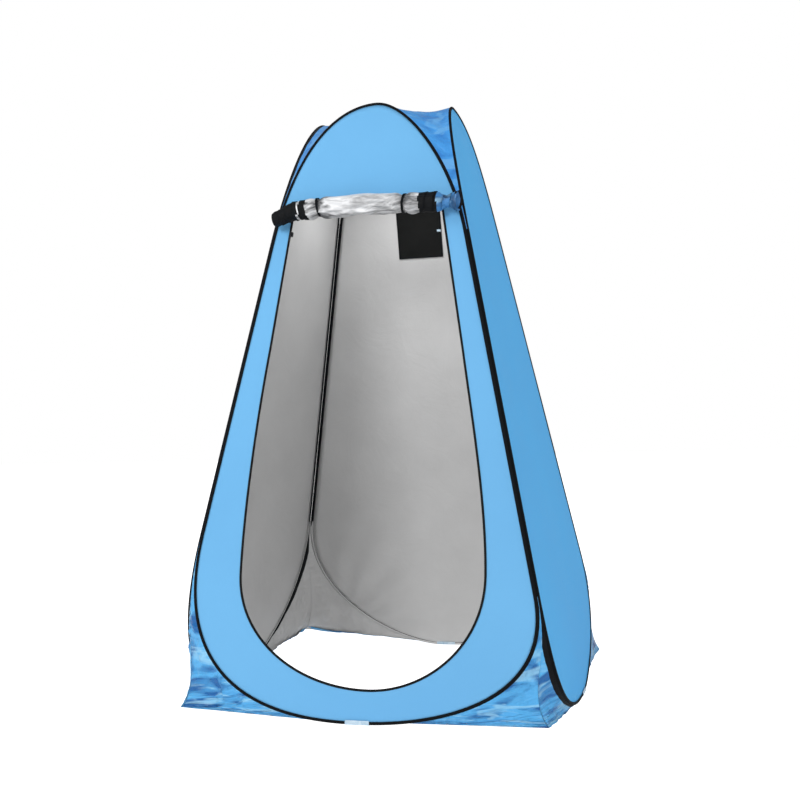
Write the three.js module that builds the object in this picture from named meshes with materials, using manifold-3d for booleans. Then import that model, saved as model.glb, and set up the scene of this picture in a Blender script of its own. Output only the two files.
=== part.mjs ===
// Privacy shower tent: four tapering panels, each stretched on an egg-shaped steel hoop, joined at their
// corners. Millimetres, +Z up, the door faces -Y, and the tent stands on the plane z = 0.
import * as THREE from "three";
import { mergeVertices } from "three/addons/utils/BufferGeometryUtils.js";
import Module from "manifold-3d";

const manifold = await Module();
manifold.setup();

// ---- overall shape ------------------------------------------------------------------------------
const HEIGHT = 1900; // to the top of the tallest hoop
const BASE_HALF = 610; // from the tent's axis to a panel's plane, at the ground
const TOP_HALF = 231; // the same, at the top
const LEAN = Math.atan((BASE_HALF - TOP_HALF) / HEIGHT); // each panel leans inwards by this angle
const SEAM_LOW = 368; // the hoops part from the corner seams below this height, measured up the panel
const SEAM_HIGH = 1475; // and above this one

// How each tensioned hoop settles. Heights run up the panel and x runs across it, seen from outside:
// crown and foot are the x of its highest and lowest points, and each side's handles set how square
// the curve is: crown and rise at the top, fall and foot at the bottom. low and high are where a side
// leaves its corner seam, if that isn't SEAM_LOW and SEAM_HIGH.
const HOOPS = {
  front: {
    top: 1923,
    crown: 16,
    foot: 20,
    left: { crown: 170, rise: 255, fall: 335, foot: 419, low: 540 },
    right: { crown: 106, rise: 226, fall: 315, foot: 190 },
  },
  right: {
    top: 1931,
    crown: -57,
    foot: -130,
    left: { crown: 170, rise: 150, fall: 300, foot: 330 },
    right: { crown: 285, rise: 275, fall: 270, foot: 110 },
  },
  back: {
    top: 1929,
    crown: 0,
    foot: 0,
    left: { crown: 130, rise: 240, fall: 280, foot: 200 },
    right: { crown: 150, rise: 130, fall: 300, foot: 200, low: 500, high: 1640 },
  },
  left: {
    top: 1929,
    crown: 0,
    foot: 0,
    left: { crown: 120, rise: 130, fall: 300, foot: 200, low: 500, high: 1640 },
    right: { crown: 125, rise: 275, fall: 345, foot: 365, low: 540 },
  },
};

// ---- hoop section -------------------------------------------------------------------------------
const WIRE_RADIUS = 1.3;
const BINDING_WIDTH = 9; // in the panel's plane
const BINDING_DEPTH = 6.4; // across it
const BINDING_WALL = 0.9;
const SEAM_GAP = 1; // from the binding to the line the corner folds about
const OPEN_SEAM_GAP = 7; // the same on the one edge of the corner that is left unjoined
const GAP = 0.4; // running gap between neighbouring pieces
const LOOSE_GAP = 3; // from a binding to the loose skirts and roof
const FABRIC = 1.2; // thickness of the sheets
const HEM_PATCH = { half: 36, wall: 1, above: 3 }; // half its length, and its reach above the binding

// ---- door ---------------------------------------------------------------------------------------
const DOOR_TOP = 1576; // heights up the front panel
const DOOR_STRAIGHT_TOP = 1540;
const DOOR_CORNER = { run: 55, ease: 22, tuck: 4, dip: 8 }; // the rounded upper corners and their handles
const DOOR_WIDEST = 428;
const DOOR_BOTTOM = 97;
const DOOR_FOOT = 50; // x of the lowest point
const DOOR_BULGE = { out: 30, down: 207, up: 210 }; // handles of the curve from the straight to the widest
const DOOR = {
  left: { top: 252, straightLow: 1121, straight: 305, widest: 363, fall: 194, foot: 220 },
  right: { top: 244, straightLow: 1093, straight: 313, widest: 388, fall: 205, foot: 165 },
};
const TAPE_WIDTH = 8;
const TAPE_DEPTH = 3.8;
const TAPE_GRIP = 1; // how far inside the opening the tape's fold lies

// ---- loose cloth and the rolled flap ------------------------------------------------------------
// Rows down each skirt and roof tail, and how far they keep from the ends of the corner seams.
const SKIRT = { rows: 17, belowSeam: 20, aboveGround: 12 };
const ROOF = { rows: 18, aboveSeam: 40, sag: 24, drop: 38 }; // sag between two hoop tops, drop at the middle
const ROLL_OUT = 44; // from the front panel to the rolled flap's middle
const TIE = { radius: 40, thick: 1.4, width: 9 };
const TIES = { left: { x: -146, y: 1566 }, right: { x: 132, y: 1557 } };

// ---- pocket -------------------------------------------------------------------------------------
// Hangs flat inside the back panel. x runs towards the left-hand side seen from inside.
const POCKET = { x: -15, low: 1495, width: 165, height: 200, depth: 3 };
const TAG = { width: 14, height: 8, thick: 0.8, inward: 9, up: 95 }; // from the pocket's lower left corner

const SIDES = ["front", "right", "back", "left"];
const COLOURS = {
  black: 0x17191b,
  blue: 0x62b0e6,
  coated: 0x4f98d4,
  silver: 0xb9bcc0,
  steel: 0x8d9196,
  pale: 0xdfe8ef,
  roof: 0x4c83b1,
};

const part = new THREE.Group();
part.name = "privacy_shower_tent";

function add(name, geometry, colour) {
  const material = new THREE.MeshStandardMaterial({ color: COLOURS[colour], roughness: 0.7 });
  material.name = name;
  const mesh = new THREE.Mesh(geometry, material);
  mesh.name = name;
  part.add(mesh);
}

// ---- frames -------------------------------------------------------------------------------------
// A panel is drawn flat: x across it, y up it from the ground, z out of the tent. This stands it in place.
function panelFrame(side) {
  const stand = new THREE.Matrix4().makeRotationX(Math.PI / 2 - LEAN);
  const push = new THREE.Matrix4().makeTranslation(0, -BASE_HALF, 0);
  const turn = new THREE.Matrix4().makeRotationZ(side * Math.PI / 2);
  return turn.multiply(push).multiply(stand);
}

function inFrame(side, x, y, z) {
  return new THREE.Vector3(x, y, z).applyMatrix4(panelFrame(side));
}

// ---- general solids -----------------------------------------------------------------------------
// Joins rings of points into one closed body; the rings close on each other, or end in flat caps.
function loft(rings, section, endless) {
  const count = rings[0].length;
  const points = rings.flat();
  const faces = [];
  const steps = endless ? rings.length : rings.length - 1;
  for (let i = 0; i < steps; i += 1) {
    const here = i * count;
    const next = ((i + 1) % rings.length) * count;
    for (let j = 0; j < count; j += 1) {
      const k = (j + 1) % count;
      faces.push([here + j, here + k, next + k], [here + j, next + k, next + j]);
    }
  }
  if (!endless) {
    const last = (rings.length - 1) * count;
    for (const [a, b, c] of THREE.ShapeUtils.triangulateShape(section, [])) {
      faces.push([c, b, a], [last + a, last + b, last + c]);
    }
  }
  return solid(points, faces);
}

function solid(points, faces) {
  const geometry = new THREE.BufferGeometry();
  geometry.setAttribute("position", new THREE.Float32BufferAttribute(points.flatMap((p) => p.toArray()), 3));
  geometry.setIndex(faces.flat());
  if (volume(points, faces) < 0) {
    geometry.setIndex(faces.map(([a, b, c]) => [a, c, b]).flat());
  }
  geometry.computeVertexNormals();
  return geometry;
}

function volume(points, faces) {
  const triple = ([a, b, c]) => points[a].dot(points[b].clone().cross(points[c]));
  return faces.reduce((sum, face) => sum + triple(face), 0) / 6;
}

// Sweeps a section round a flat closed outline. Section x runs out of the outline, section y out of its plane.
function sweepOutline(outline, section) {
  const rings = outline.map((point, i) => {
    const out = cornerNormal(outline, i);
    return section.map((s) => new THREE.Vector3(point.x + out.x * s.x, point.y + out.y * s.x, s.y));
  });
  return loft(rings, section, true);
}

// The outward direction at a corner, lengthened so that an offset keeps its distance from both edges.
function cornerNormal(outline, i) {
  const before = outline[(i + outline.length - 1) % outline.length];
  const here = outline[i];
  const after = outline[(i + 1) % outline.length];
  const first = here.clone().sub(before).normalize();
  const second = after.clone().sub(here).normalize();
  const a = new THREE.Vector2(first.y, -first.x);
  const b = new THREE.Vector2(second.y, -second.x);
  return a.clone().add(b).divideScalar(1 + a.dot(b));
}

function offset(outline, distance) {
  return outline.map((point, i) => point.clone().addScaledVector(cornerNormal(outline, i), distance));
}

// Turns an open surface into a closed sheet of the fabric's thickness.
function thicken(points, faces) {
  const surface = new THREE.BufferGeometry();
  surface.setAttribute("position", new THREE.Float32BufferAttribute(points.flatMap((p) => p.toArray()), 3));
  surface.setIndex(faces.flat());
  surface.computeVertexNormals();
  const normals = surface.getAttribute("normal");
  const shifted = (distance) => points.map((point, i) => {
    return point.clone().addScaledVector(new THREE.Vector3().fromBufferAttribute(normals, i), distance);
  });
  const edges = new Set(faces.flatMap(([a, b, c]) => [`${a},${b}`, `${b},${c}`, `${c},${a}`]));
  const back = points.length;
  const all = faces.flatMap(([a, b, c]) => [[a, b, c], [back + c, back + b, back + a]]);
  for (const edge of edges) {
    const [a, b] = edge.split(",").map(Number);
    if (!edges.has(`${b},${a}`)) {
      all.push([a, back + a, back + b], [a, back + b, b]);
    }
  }
  return solid([...shifted(FABRIC / 2), ...shifted(-FABRIC / 2)], all);
}

function gridFaces(rows, columns, start = 0) {
  const faces = [];
  for (let r = 0; r < rows - 1; r += 1) {
    for (let c = 0; c < columns - 1; c += 1) {
      const i = start + r * columns + c;
      faces.push([i, i + 1, i + columns + 1], [i, i + columns + 1, i + columns]);
    }
  }
  return faces;
}

function circle(radius, sides, x = 0) {
  return Array.from({ length: sides }, (_, i) => {
    const angle = (i / sides) * 2 * Math.PI;
    return new THREE.Vector2(x + radius * Math.cos(angle), radius * Math.sin(angle));
  });
}

// ---- hoops --------------------------------------------------------------------------------------
const HOOP_BOTTOM = 6.7; // the hoop's lowest point, up the panel
const FERRULE_HALF = 16; // the hoop is straight for this far to each side of its bottom
const FERRULE_WALL = 0.35;
const FERRULE_CLEARANCE = 0.3; // round the wire
const HOOP_STEPS = { lower: 14, upper: 16 };
const WIRE_SHIFT = 1.4; // the wire lies this far out from the binding's middle

// The half width of a hoop at a height where it runs along the corner seam.
function seamHalf(height, gap) {
  const taper = Math.sin(LEAN);
  const fold = BASE_HALF - height * taper - (BINDING_DEPTH / 2) * Math.cos(LEAN);
  return fold - (gap + BINDING_WIDTH / 2) * Math.hypot(1, taper);
}

function seamEnds(hoop, isRight) {
  const { low = SEAM_LOW, high = SEAM_HIGH } = isRight ? hoop.right : hoop.left;
  return { low, high };
}

// One side of a hoop, drawn as if it were on the right: up from its lowest point, then up to its crown.
function hoopSide(hoop, isRight, gap) {
  const hand = isRight ? 1 : -1;
  const shape = isRight ? hoop.right : hoop.left;
  const foot = hoop.foot * hand;
  const crown = hoop.crown * hand;
  const { low: seamLow, high: seamHigh } = seamEnds(hoop, isRight);
  const low = new THREE.Vector2(seamHalf(seamLow, gap), seamLow);
  const high = new THREE.Vector2(seamHalf(seamHigh, gap), seamHigh);
  const up = high.clone().sub(low).normalize();
  const lower = new THREE.CubicBezierCurve(
    new THREE.Vector2(foot + FERRULE_HALF, HOOP_BOTTOM),
    new THREE.Vector2(foot + shape.foot, HOOP_BOTTOM),
    low.clone().addScaledVector(up, -shape.fall),
    low,
  );
  const upper = new THREE.CubicBezierCurve(
    high,
    high.clone().addScaledVector(up, shape.rise),
    new THREE.Vector2(crown + shape.crown, hoop.top),
    new THREE.Vector2(crown, hoop.top),
  );
  return { lower: lower.getPoints(HOOP_STEPS.lower), upper: upper.getPoints(HOOP_STEPS.upper) };
}

const seamGaps = SIDES.map((side) => ({ left: side === "left" ? OPEN_SEAM_GAP : SEAM_GAP, right: SEAM_GAP }));
const mirror = (points) => points.map((point) => new THREE.Vector2(-point.x, point.y));

// The whole hoop, anticlockwise from the middle of the bottom.
function hoopOutline(side) {
  const hoop = HOOPS[SIDES[side]];
  const right = hoopSide(hoop, true, seamGaps[side].right);
  const left = hoopSide(hoop, false, seamGaps[side].left);
  const rising = [...right.lower, ...right.upper];
  const falling = mirror([...left.lower, ...left.upper.slice(0, -1)]).reverse();
  return [...rising, ...falling];
}

// A folded tape, its mouth towards the panel.
function bindingSection() {
  const wide = BINDING_WIDTH / 2;
  const deep = BINDING_DEPTH / 2;
  const inner = deep - BINDING_WALL;
  return [
    new THREE.Vector2(-wide, -deep),
    new THREE.Vector2(wide, -deep),
    new THREE.Vector2(wide, deep),
    new THREE.Vector2(-wide, deep),
    new THREE.Vector2(-wide, inner),
    new THREE.Vector2(wide - BINDING_WALL, inner),
    new THREE.Vector2(wide - BINDING_WALL, -inner),
    new THREE.Vector2(-wide, -inner),
  ];
}

function ferrule(foot) {
  const inner = WIRE_RADIUS + FERRULE_CLEARANCE;
  const outer = inner + FERRULE_WALL;
  const half = FERRULE_HALF - 4;
  const profile = [
    new THREE.Vector2(inner, -half),
    new THREE.Vector2(outer, -half),
    new THREE.Vector2(outer, half),
    new THREE.Vector2(inner, half),
    new THREE.Vector2(inner, -half),
  ];
  const tube = mergeVertices(stripped(new THREE.LatheGeometry(profile, 12)), 1e-4);
  return tube.rotateZ(Math.PI / 2).translate(foot, HOOP_BOTTOM - WIRE_SHIFT, 0);
}

function stripped(geometry) {
  const bare = geometry.clone();
  bare.deleteAttribute("uv");
  bare.deleteAttribute("normal");
  return bare;
}

function panelShape(side) {
  return new THREE.Shape(offset(hoopOutline(side), -1));
}

function sheetFrom(shape) {
  const sheet = new THREE.ExtrudeGeometry(shape, { depth: FABRIC, bevelEnabled: false, curveSegments: 16 });
  return sheet.translate(0, 0, -FABRIC / 2);
}

// A pale patch of fabric folded up round the bottom of the binding, with a flat underside on the ground.
function hemPatch(foot) {
  const inside = BINDING_DEPTH / 2 + GAP;
  const outside = inside + HEM_PATCH.wall;
  const floorAt = (z) => -z * Math.tan(LEAN);
  const bed = HOOP_BOTTOM - BINDING_WIDTH / 2 - GAP;
  const top = HOOP_BOTTOM + BINDING_WIDTH / 2 + HEM_PATCH.above;
  const section = [
    [-outside, floorAt(-outside)],
    [outside, floorAt(outside)],
    [outside, top],
    [inside, top],
    [inside, bed],
    [-inside, bed],
    [-inside, top],
    [-outside, top],
  ].map(([z, y]) => new THREE.Vector2(z, y));
  const ring = (x) => section.map((s) => new THREE.Vector3(x, s.y, s.x));
  return loft([ring(foot - HEM_PATCH.half), ring(foot + HEM_PATCH.half)], section, false);
}

SIDES.forEach((name, side) => {
  const outline = hoopOutline(side);
  const frame = panelFrame(side);
  const { foot } = HOOPS[name];
  const wire = sweepOutline(outline, circle(WIRE_RADIUS, 6, WIRE_SHIFT));
  add(`${name}_hoop_wire`, wire.applyMatrix4(frame), "steel");
  add(`${name}_hoop_ferrule`, ferrule(foot).applyMatrix4(frame), "steel");
  add(`${name}_binding`, sweepOutline(outline, bindingSection()).applyMatrix4(frame), "black");
  const shape = panelShape(side);
  if (name === "front") {
    shape.holes.push(new THREE.Path(doorOutline()));
  }
  add(`${name}_panel`, sheetFrom(shape).applyMatrix4(frame), "blue");
  add(`hem_patch_${name}`, hemPatch(foot).applyMatrix4(frame), "pale");
});

// ---- corner skirts ------------------------------------------------------------------------------
// Below the seams the hoops leave each corner, and a coated skirt closes it down to the ground.
// Each skirt's corner at its hem: how far out from the tent's axis along X and Y, how high off the ground,
// and how late the fold swings out to it. Front right first, then anticlockwise.
const CORNER_FEET = [
  { out: 560, up: 3, flare: 2.5 },
  { out: 590, up: 3, flare: 1 },
  { out: 550, up: 70, flare: 2.5 },
  { out: 555, up: 18, flare: 2.4 },
];
const WING_STEPS = 4;

// The outer edge of a binding from its lowest point up one side to its crown, in the tent's frame.
function bindingEdge(side, isRight, keep) {
  const edge = offset(hoopOutline(side), BINDING_WIDTH / 2 + LOOSE_GAP);
  const crown = edge.reduce((best, point, i) => (point.y > edge[best].y ? i : best), 0);
  const half = isRight ? edge.slice(0, crown + 1) : edge.slice(crown).reverse();
  return half.filter(keep).map((point) => inFrame(side, point.x, point.y, 0));
}

// The same line as a given number of evenly spaced points.
function resample(points, count) {
  const path = new THREE.CurvePath();
  points.slice(1).forEach((point, i) => path.add(new THREE.LineCurve3(points[i], point)));
  return path.getSpacedPoints(count - 1);
}

// The two bindings' edges that a skirt hangs between, from the seam down.
function skirtEdges(corner) {
  const { low } = seamEnds(HOOPS[SIDES[corner]], true);
  const keep = (point) => point.y < low - SKIRT.belowSeam && point.y > SKIRT.aboveGround;
  const line = (side, isRight) => resample(bindingEdge(side, isRight, keep).reverse(), SKIRT.rows);
  return [line(corner, true), line((corner + 1) % 4, false)];
}

// The skirt's corner fold: it hangs midway between the two hoops and reaches out to its foot at the hem.
function cornerFold(corner, near, far) {
  const { out, up, flare } = CORNER_FEET[corner];
  const upright = new THREE.Vector3(0, 0, 1);
  const foot = new THREE.Vector3(out, -out, up).applyAxisAngle(upright, corner * Math.PI / 2);
  const highest = (near[0].z + far[0].z) / 2;
  return near.map((point, i) => {
    const eased = (i / (near.length - 1)) ** 4;
    const middle = point.clone().lerp(far[i], 0.5);
    const height = THREE.MathUtils.lerp(middle.z, up, eased);
    const drop = Math.max((highest - height) / (highest - up), 0);
    return middle.lerp(foot, drop ** flare).setZ(height);
  });
}

function rowBetween(from, to) {
  return Array.from({ length: WING_STEPS + 1 }, (_, i) => from.clone().lerp(to, i / WING_STEPS));
}

function wholeSkirt(corner) {
  const [near, far] = skirtEdges(corner);
  const fold = cornerFold(corner, near, far);
  const rows = fold.map((middle, i) => {
    return [...rowBetween(near[i], middle), ...rowBetween(middle, far[i]).slice(1)];
  });
  return thicken(rows.flat(), gridFaces(rows.length, 2 * WING_STEPS + 1));
}

// One wing of the skirt at the corner that is left unjoined; it stops just short of the fold.
function skirtWing(corner, isNear) {
  const [near, far] = skirtEdges(corner);
  const fold = cornerFold(corner, near, far);
  const edge = isNear ? near : far;
  const rows = edge.map((point, i) => {
    const back = point.clone().sub(fold[i]).setZ(0).setLength(FABRIC);
    return rowBetween(point, fold[i].add(back));
  });
  return thicken(rows.flat(), gridFaces(rows.length, WING_STEPS + 1));
}

add("skirt_front_right", wholeSkirt(0), "coated");
add("skirt_back_right", wholeSkirt(1), "coated");
add("skirt_back_left_rear", skirtWing(2, true), "coated");
add("skirt_back_left_side", skirtWing(2, false), "coated");
add("skirt_front_left", wholeSkirt(3), "coated");

// ---- roof ---------------------------------------------------------------------------------------
// One sheet closes the top: a square between the four hoop tops, with a tail down each corner.
function roofCanopy() {
  const tails = SIDES.map((name, corner) => {
    const { high } = seamEnds(HOOPS[name], true);
    const keep = (point) => point.y > high + ROOF.aboveSeam;
    const line = (side, isRight) => resample(bindingEdge(side, isRight, keep).reverse(), ROOF.rows);
    const near = line(corner, true);
    const far = line((corner + 1) % 4, false);
    return near.map((point, i) => sagged(rowBetween(point, far[i]), 1 - i / (near.length - 1)));
  });
  const rows = tails[0].length;
  const size = rows * (WING_STEPS + 1);
  const points = tails.flat(2);
  const faces = tails.flatMap((_, corner) => gridFaces(rows, WING_STEPS + 1, corner * size));
  const middle = points.length;
  points.push(new THREE.Vector3(0, 0, HEIGHT - ROOF.drop));
  tails.forEach((_, corner) => {
    for (let i = 0; i < WING_STEPS; i += 1) {
      faces.push([middle, corner * size + i + 1, corner * size + i]);
    }
  });
  return welded(points, faces);
}

// Lets a row hang between its two hoops; rise is 0 at the tail's foot and 1 at the top.
function sagged(row, rise) {
  const deepest = ROOF.sag * rise ** 2;
  row.forEach((point, i) => {
    const across = i / (row.length - 1);
    point.z -= deepest * 4 * across * (1 - across);
  });
  return row;
}

// Joins the points that neighbouring tails share at the hoop tops, then thickens the sheet.
function welded(points, faces) {
  const first = points.map((point) => points.findIndex((other) => other.distanceTo(point) < 0.01));
  const kept = [...new Set(first)];
  const place = new Map(kept.map((index, i) => [index, i]));
  const mapped = faces.map((face) => face.map((index) => place.get(first[index])));
  return thicken(kept.map((index) => points[index]), mapped);
}

add("roof_canopy", roofCanopy(), "roof");

// ---- door ---------------------------------------------------------------------------------------
// The opening: a straight top, a straight stretch down each side, then an egg-shaped lower end.
function doorSide(side, foot) {
  const corner = new THREE.CubicBezierCurve(
    new THREE.Vector2(side.top - DOOR_CORNER.run, DOOR_TOP),
    new THREE.Vector2(side.top - DOOR_CORNER.ease, DOOR_TOP),
    new THREE.Vector2(side.top - DOOR_CORNER.tuck, DOOR_TOP - DOOR_CORNER.dip),
    new THREE.Vector2(side.top, DOOR_STRAIGHT_TOP),
  );
  const bulge = new THREE.CubicBezierCurve(
    new THREE.Vector2(side.straight, side.straightLow),
    new THREE.Vector2(side.straight + DOOR_BULGE.out, side.straightLow - DOOR_BULGE.down),
    new THREE.Vector2(side.widest, DOOR_WIDEST + DOOR_BULGE.up),
    new THREE.Vector2(side.widest, DOOR_WIDEST),
  );
  const low = new THREE.CubicBezierCurve(
    new THREE.Vector2(side.widest, DOOR_WIDEST),
    new THREE.Vector2(side.widest, DOOR_WIDEST - side.fall),
    new THREE.Vector2(foot + side.foot, DOOR_BOTTOM),
    new THREE.Vector2(foot, DOOR_BOTTOM),
  );
  return [...corner.getPoints(5), ...bulge.getPoints(6), ...low.getPoints(12).slice(1)];
}

function doorOutline() {
  const right = doorSide(DOOR.right, DOOR_FOOT);
  const left = mirror(doorSide(DOOR.left, -DOOR_FOOT).slice(0, -1));
  return [...left, ...right.reverse()];
}

// The zip tape grips the fabric all round the opening.
function tapeSection() {
  const deep = TAPE_DEPTH / 2;
  const inner = FABRIC / 2 + GAP;
  const lip = TAPE_WIDTH / 2;
  return [
    new THREE.Vector2(-lip, -deep),
    new THREE.Vector2(lip, -deep),
    new THREE.Vector2(lip, -inner),
    new THREE.Vector2(-TAPE_GRIP, -inner),
    new THREE.Vector2(-TAPE_GRIP, inner),
    new THREE.Vector2(lip, inner),
    new THREE.Vector2(lip, deep),
    new THREE.Vector2(-lip, deep),
  ];
}

add("door_zip_tape", sweepOutline(doorOutline(), tapeSection()).applyMatrix4(panelFrame(0)), "black");

// The opened flap, rolled up outwards and hung above the opening: heights and radii along the roll.
const ROLL_STATIONS = [
  { x: -303, y: 1530, r: 25 },
  { x: -285, y: 1540, r: 28 },
  { x: -225, y: 1560, r: 35 },
  { x: -150, y: 1566, r: 34 },
  { x: 0, y: 1565, r: 37 },
  { x: 150, y: 1556, r: 34 },
  { x: 245, y: 1553, r: 36 },
  { x: 270, y: 1552, r: 22 },
  { x: 310, y: 1550, r: 33 },
];

function flapRoll() {
  const section = circle(1, 16);
  const rings = ROLL_STATIONS.map(({ x, y, r }) => {
    return section.map((s) => new THREE.Vector3(x, y + r * s.x, ROLL_OUT + r * s.y));
  });
  return loft(rings, section, false);
}

function doorTie({ x, y }) {
  const shape = new THREE.Shape(circle(TIE.radius + TIE.thick, 24));
  shape.holes.push(new THREE.Path(circle(TIE.radius, 24)));
  const band = new THREE.ExtrudeGeometry(shape, { depth: TIE.width, bevelEnabled: false });
  return band.rotateY(Math.PI / 2).translate(x - TIE.width / 2, y, ROLL_OUT);
}

add("door_flap_roll", flapRoll().applyMatrix4(panelFrame(0)), "silver");
add("door_tie_left", doorTie(TIES.left).applyMatrix4(panelFrame(0)), "black");
add("door_tie_right", doorTie(TIES.right).applyMatrix4(panelFrame(0)), "black");

// ---- zip slider ---------------------------------------------------------------------------------
const SLIDER_LENGTH = 14;
const SLIDER_WIDTH = 10;
const SLIDER_DEPTH = 8;
const POST = { width: 1.6, length: 2.6, tall: 4.4, inset: 0.9 }; // the two that hold the bridge bar
const BRIDGE_RADIUS = 0.9;
const BRIDGE_OUT = 2.8; // from the slider's face to its bridge bar
const PULL_LENGTH = 24;
const PULL_WIDTH = 5.4;
const PULL_THICK = 1.4;

function asManifold(geometry) {
  const bare = mergeVertices(stripped(geometry), 1e-5);
  const mesh = new manifold.Mesh({
    numProp: 3,
    vertProperties: new Float32Array(bare.getAttribute("position").array),
    triVerts: new Uint32Array(bare.getIndex().array),
  });
  return new manifold.Manifold(mesh);
}

function fromManifold(shape) {
  const mesh = shape.getMesh();
  const geometry = new THREE.BufferGeometry();
  geometry.setAttribute("position", new THREE.Float32BufferAttribute(mesh.vertProperties, 3));
  geometry.setIndex(Array.from(mesh.triVerts));
  geometry.computeVertexNormals();
  return geometry;
}

function box(width, height, depth, x, y, z) {
  return new THREE.BoxGeometry(width, height, depth).translate(x, y, z);
}

// The slider lies along y here: x runs from the panel into the opening, z out of the tent.
function sliderBody() {
  const slotHalf = TAPE_DEPTH / 2 + GAP;
  const lip = TAPE_WIDTH / 2 + GAP;
  const top = SLIDER_DEPTH / 2;
  const middle = SLIDER_WIDTH / 2;
  const body = asManifold(box(SLIDER_WIDTH, SLIDER_LENGTH, SLIDER_DEPTH, middle, 0, 0));
  const slot = asManifold(box(SLIDER_WIDTH, SLIDER_LENGTH + 2, 2 * slotHalf, lip - middle, 0, 0));
  const post = (x) => asManifold(box(POST.width, POST.length, POST.tall, x, 0, top + POST.tall / 2 - GAP));
  const barLength = SLIDER_WIDTH - 2;
  const bar = new THREE.CylinderGeometry(BRIDGE_RADIUS, BRIDGE_RADIUS, barLength, 12).rotateZ(Math.PI / 2);
  bar.translate(middle, 0, top + BRIDGE_OUT);
  const posts = post(POST.inset).add(post(SLIDER_WIDTH - POST.inset));
  return body.subtract(slot).add(posts).add(asManifold(bar));
}

// A leaf with its upper end curled round the slider's bridge bar, seen from the side.
function pullProfile() {
  const curl = BRIDGE_RADIUS + 1.4;
  const half = PULL_THICK / 2;
  const meet = Math.asin(half / curl);
  const shape = new THREE.Shape();
  shape.moveTo(-PULL_LENGTH, -half);
  shape.absarc(0, 0, curl, Math.PI + meet, 3 * Math.PI - meet, false);
  shape.lineTo(-PULL_LENGTH, half);
  shape.closePath();
  const eye = new THREE.Path();
  eye.absarc(0, 0, BRIDGE_RADIUS + GAP, 0, 2 * Math.PI, false);
  shape.holes.push(eye);
  return shape;
}

const ZIP_ANGLE = Math.atan2(DOOR.left.straight - DOOR.left.top, DOOR_STRAIGHT_TOP - DOOR.left.straightLow);
const SLIDER_DOWN = 40; // the slider rests this far below the straight stretch's upper end

// Stands a piece drawn along the zip on the left side of the opening.
function onZip(geometry) {
  const x = -DOOR.left.top - SLIDER_DOWN * Math.sin(ZIP_ANGLE);
  const y = DOOR_STRAIGHT_TOP - SLIDER_DOWN * Math.cos(ZIP_ANGLE);
  return geometry.rotateZ(-ZIP_ANGLE).translate(x, y, 0).applyMatrix4(panelFrame(0));
}

// The profile lies along y with its front towards z, and is drawn out across the zip.
function zipPull() {
  const settings = { depth: PULL_WIDTH, bevelEnabled: false, curveSegments: 8 };
  const leaf = new THREE.ExtrudeGeometry(pullProfile(), settings);
  const along = new THREE.Matrix4().makeBasis(
    new THREE.Vector3(0, 1, 0),
    new THREE.Vector3(0, 0, 1),
    new THREE.Vector3(1, 0, 0),
  );
  return leaf.applyMatrix4(along).translate((SLIDER_WIDTH - PULL_WIDTH) / 2, 0, SLIDER_DEPTH / 2 + BRIDGE_OUT);
}

add("zip_slider", onZip(fromManifold(sliderBody())), "steel");
add("zip_pull", onZip(zipPull()), "steel");

// ---- pocket and its tag -------------------------------------------------------------------------
function pocket() {
  const top = -FABRIC / 2 - GAP;
  const middle = POCKET.low + POCKET.height / 2;
  return box(POCKET.width, POCKET.height, POCKET.depth, POCKET.x, middle, top - POCKET.depth / 2);
}

function pocketTag() {
  const top = -FABRIC / 2 - 2 * GAP - POCKET.depth;
  const x = POCKET.x - POCKET.width / 2 + TAG.inward;
  return box(TAG.width, TAG.height, TAG.thick, x, POCKET.low + TAG.up, top - TAG.thick / 2);
}

add("storage_pocket", pocket().applyMatrix4(panelFrame(2)), "black");
add("pocket_tag", pocketTag().applyMatrix4(panelFrame(2)), "pale");

export default part;
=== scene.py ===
import math

import bmesh
import bpy
from mathutils import Matrix, Vector, noise


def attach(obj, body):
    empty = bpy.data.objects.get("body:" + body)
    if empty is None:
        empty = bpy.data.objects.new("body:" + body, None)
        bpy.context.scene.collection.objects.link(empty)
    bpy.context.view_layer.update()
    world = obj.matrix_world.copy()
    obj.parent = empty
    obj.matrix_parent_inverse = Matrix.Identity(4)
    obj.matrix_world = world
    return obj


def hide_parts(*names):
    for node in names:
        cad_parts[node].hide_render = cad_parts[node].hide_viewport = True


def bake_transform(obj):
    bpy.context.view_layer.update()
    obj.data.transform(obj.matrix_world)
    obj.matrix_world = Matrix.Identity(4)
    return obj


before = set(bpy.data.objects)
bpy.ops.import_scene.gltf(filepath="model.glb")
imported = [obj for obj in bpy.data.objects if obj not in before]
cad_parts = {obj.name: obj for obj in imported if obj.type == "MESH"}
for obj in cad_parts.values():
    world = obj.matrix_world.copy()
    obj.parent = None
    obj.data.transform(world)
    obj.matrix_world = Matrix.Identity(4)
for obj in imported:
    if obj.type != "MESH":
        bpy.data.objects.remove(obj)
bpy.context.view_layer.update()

MM = 0.001
NOISE_SEED = 7  # without it, noise_vector would differ from run to run
noise.seed_set(NOISE_SEED)

# ---- camera ----
AZIMUTH = math.radians(15.26)
ELEVATION = math.radians(-1.51)
ROLL = math.radians(-1.53)
DISTANCE = 3.863
TARGET = Vector((0.0059, 0, 0.9396))
LENS = 51.3
SENSOR_WIDTH = 36


def add_camera():
    camera = bpy.data.objects.new("camera", bpy.data.cameras.new("camera"))
    camera.data.lens = LENS
    camera.data.sensor_width = SENSOR_WIDTH
    turn = Matrix.Rotation(AZIMUTH, 4, "Z")
    tilt = Matrix.Rotation(math.pi / 2 - ELEVATION, 4, "X")
    roll = Matrix.Rotation(ROLL, 4, "Z")
    aim = turn @ tilt @ roll
    back = aim.to_3x3() @ Vector((0, 0, 1))
    camera.matrix_world = Matrix.Translation(TARGET + back * DISTANCE) @ aim
    bpy.context.collection.objects.link(camera)
    bpy.context.scene.camera = camera


add_camera()

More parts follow.
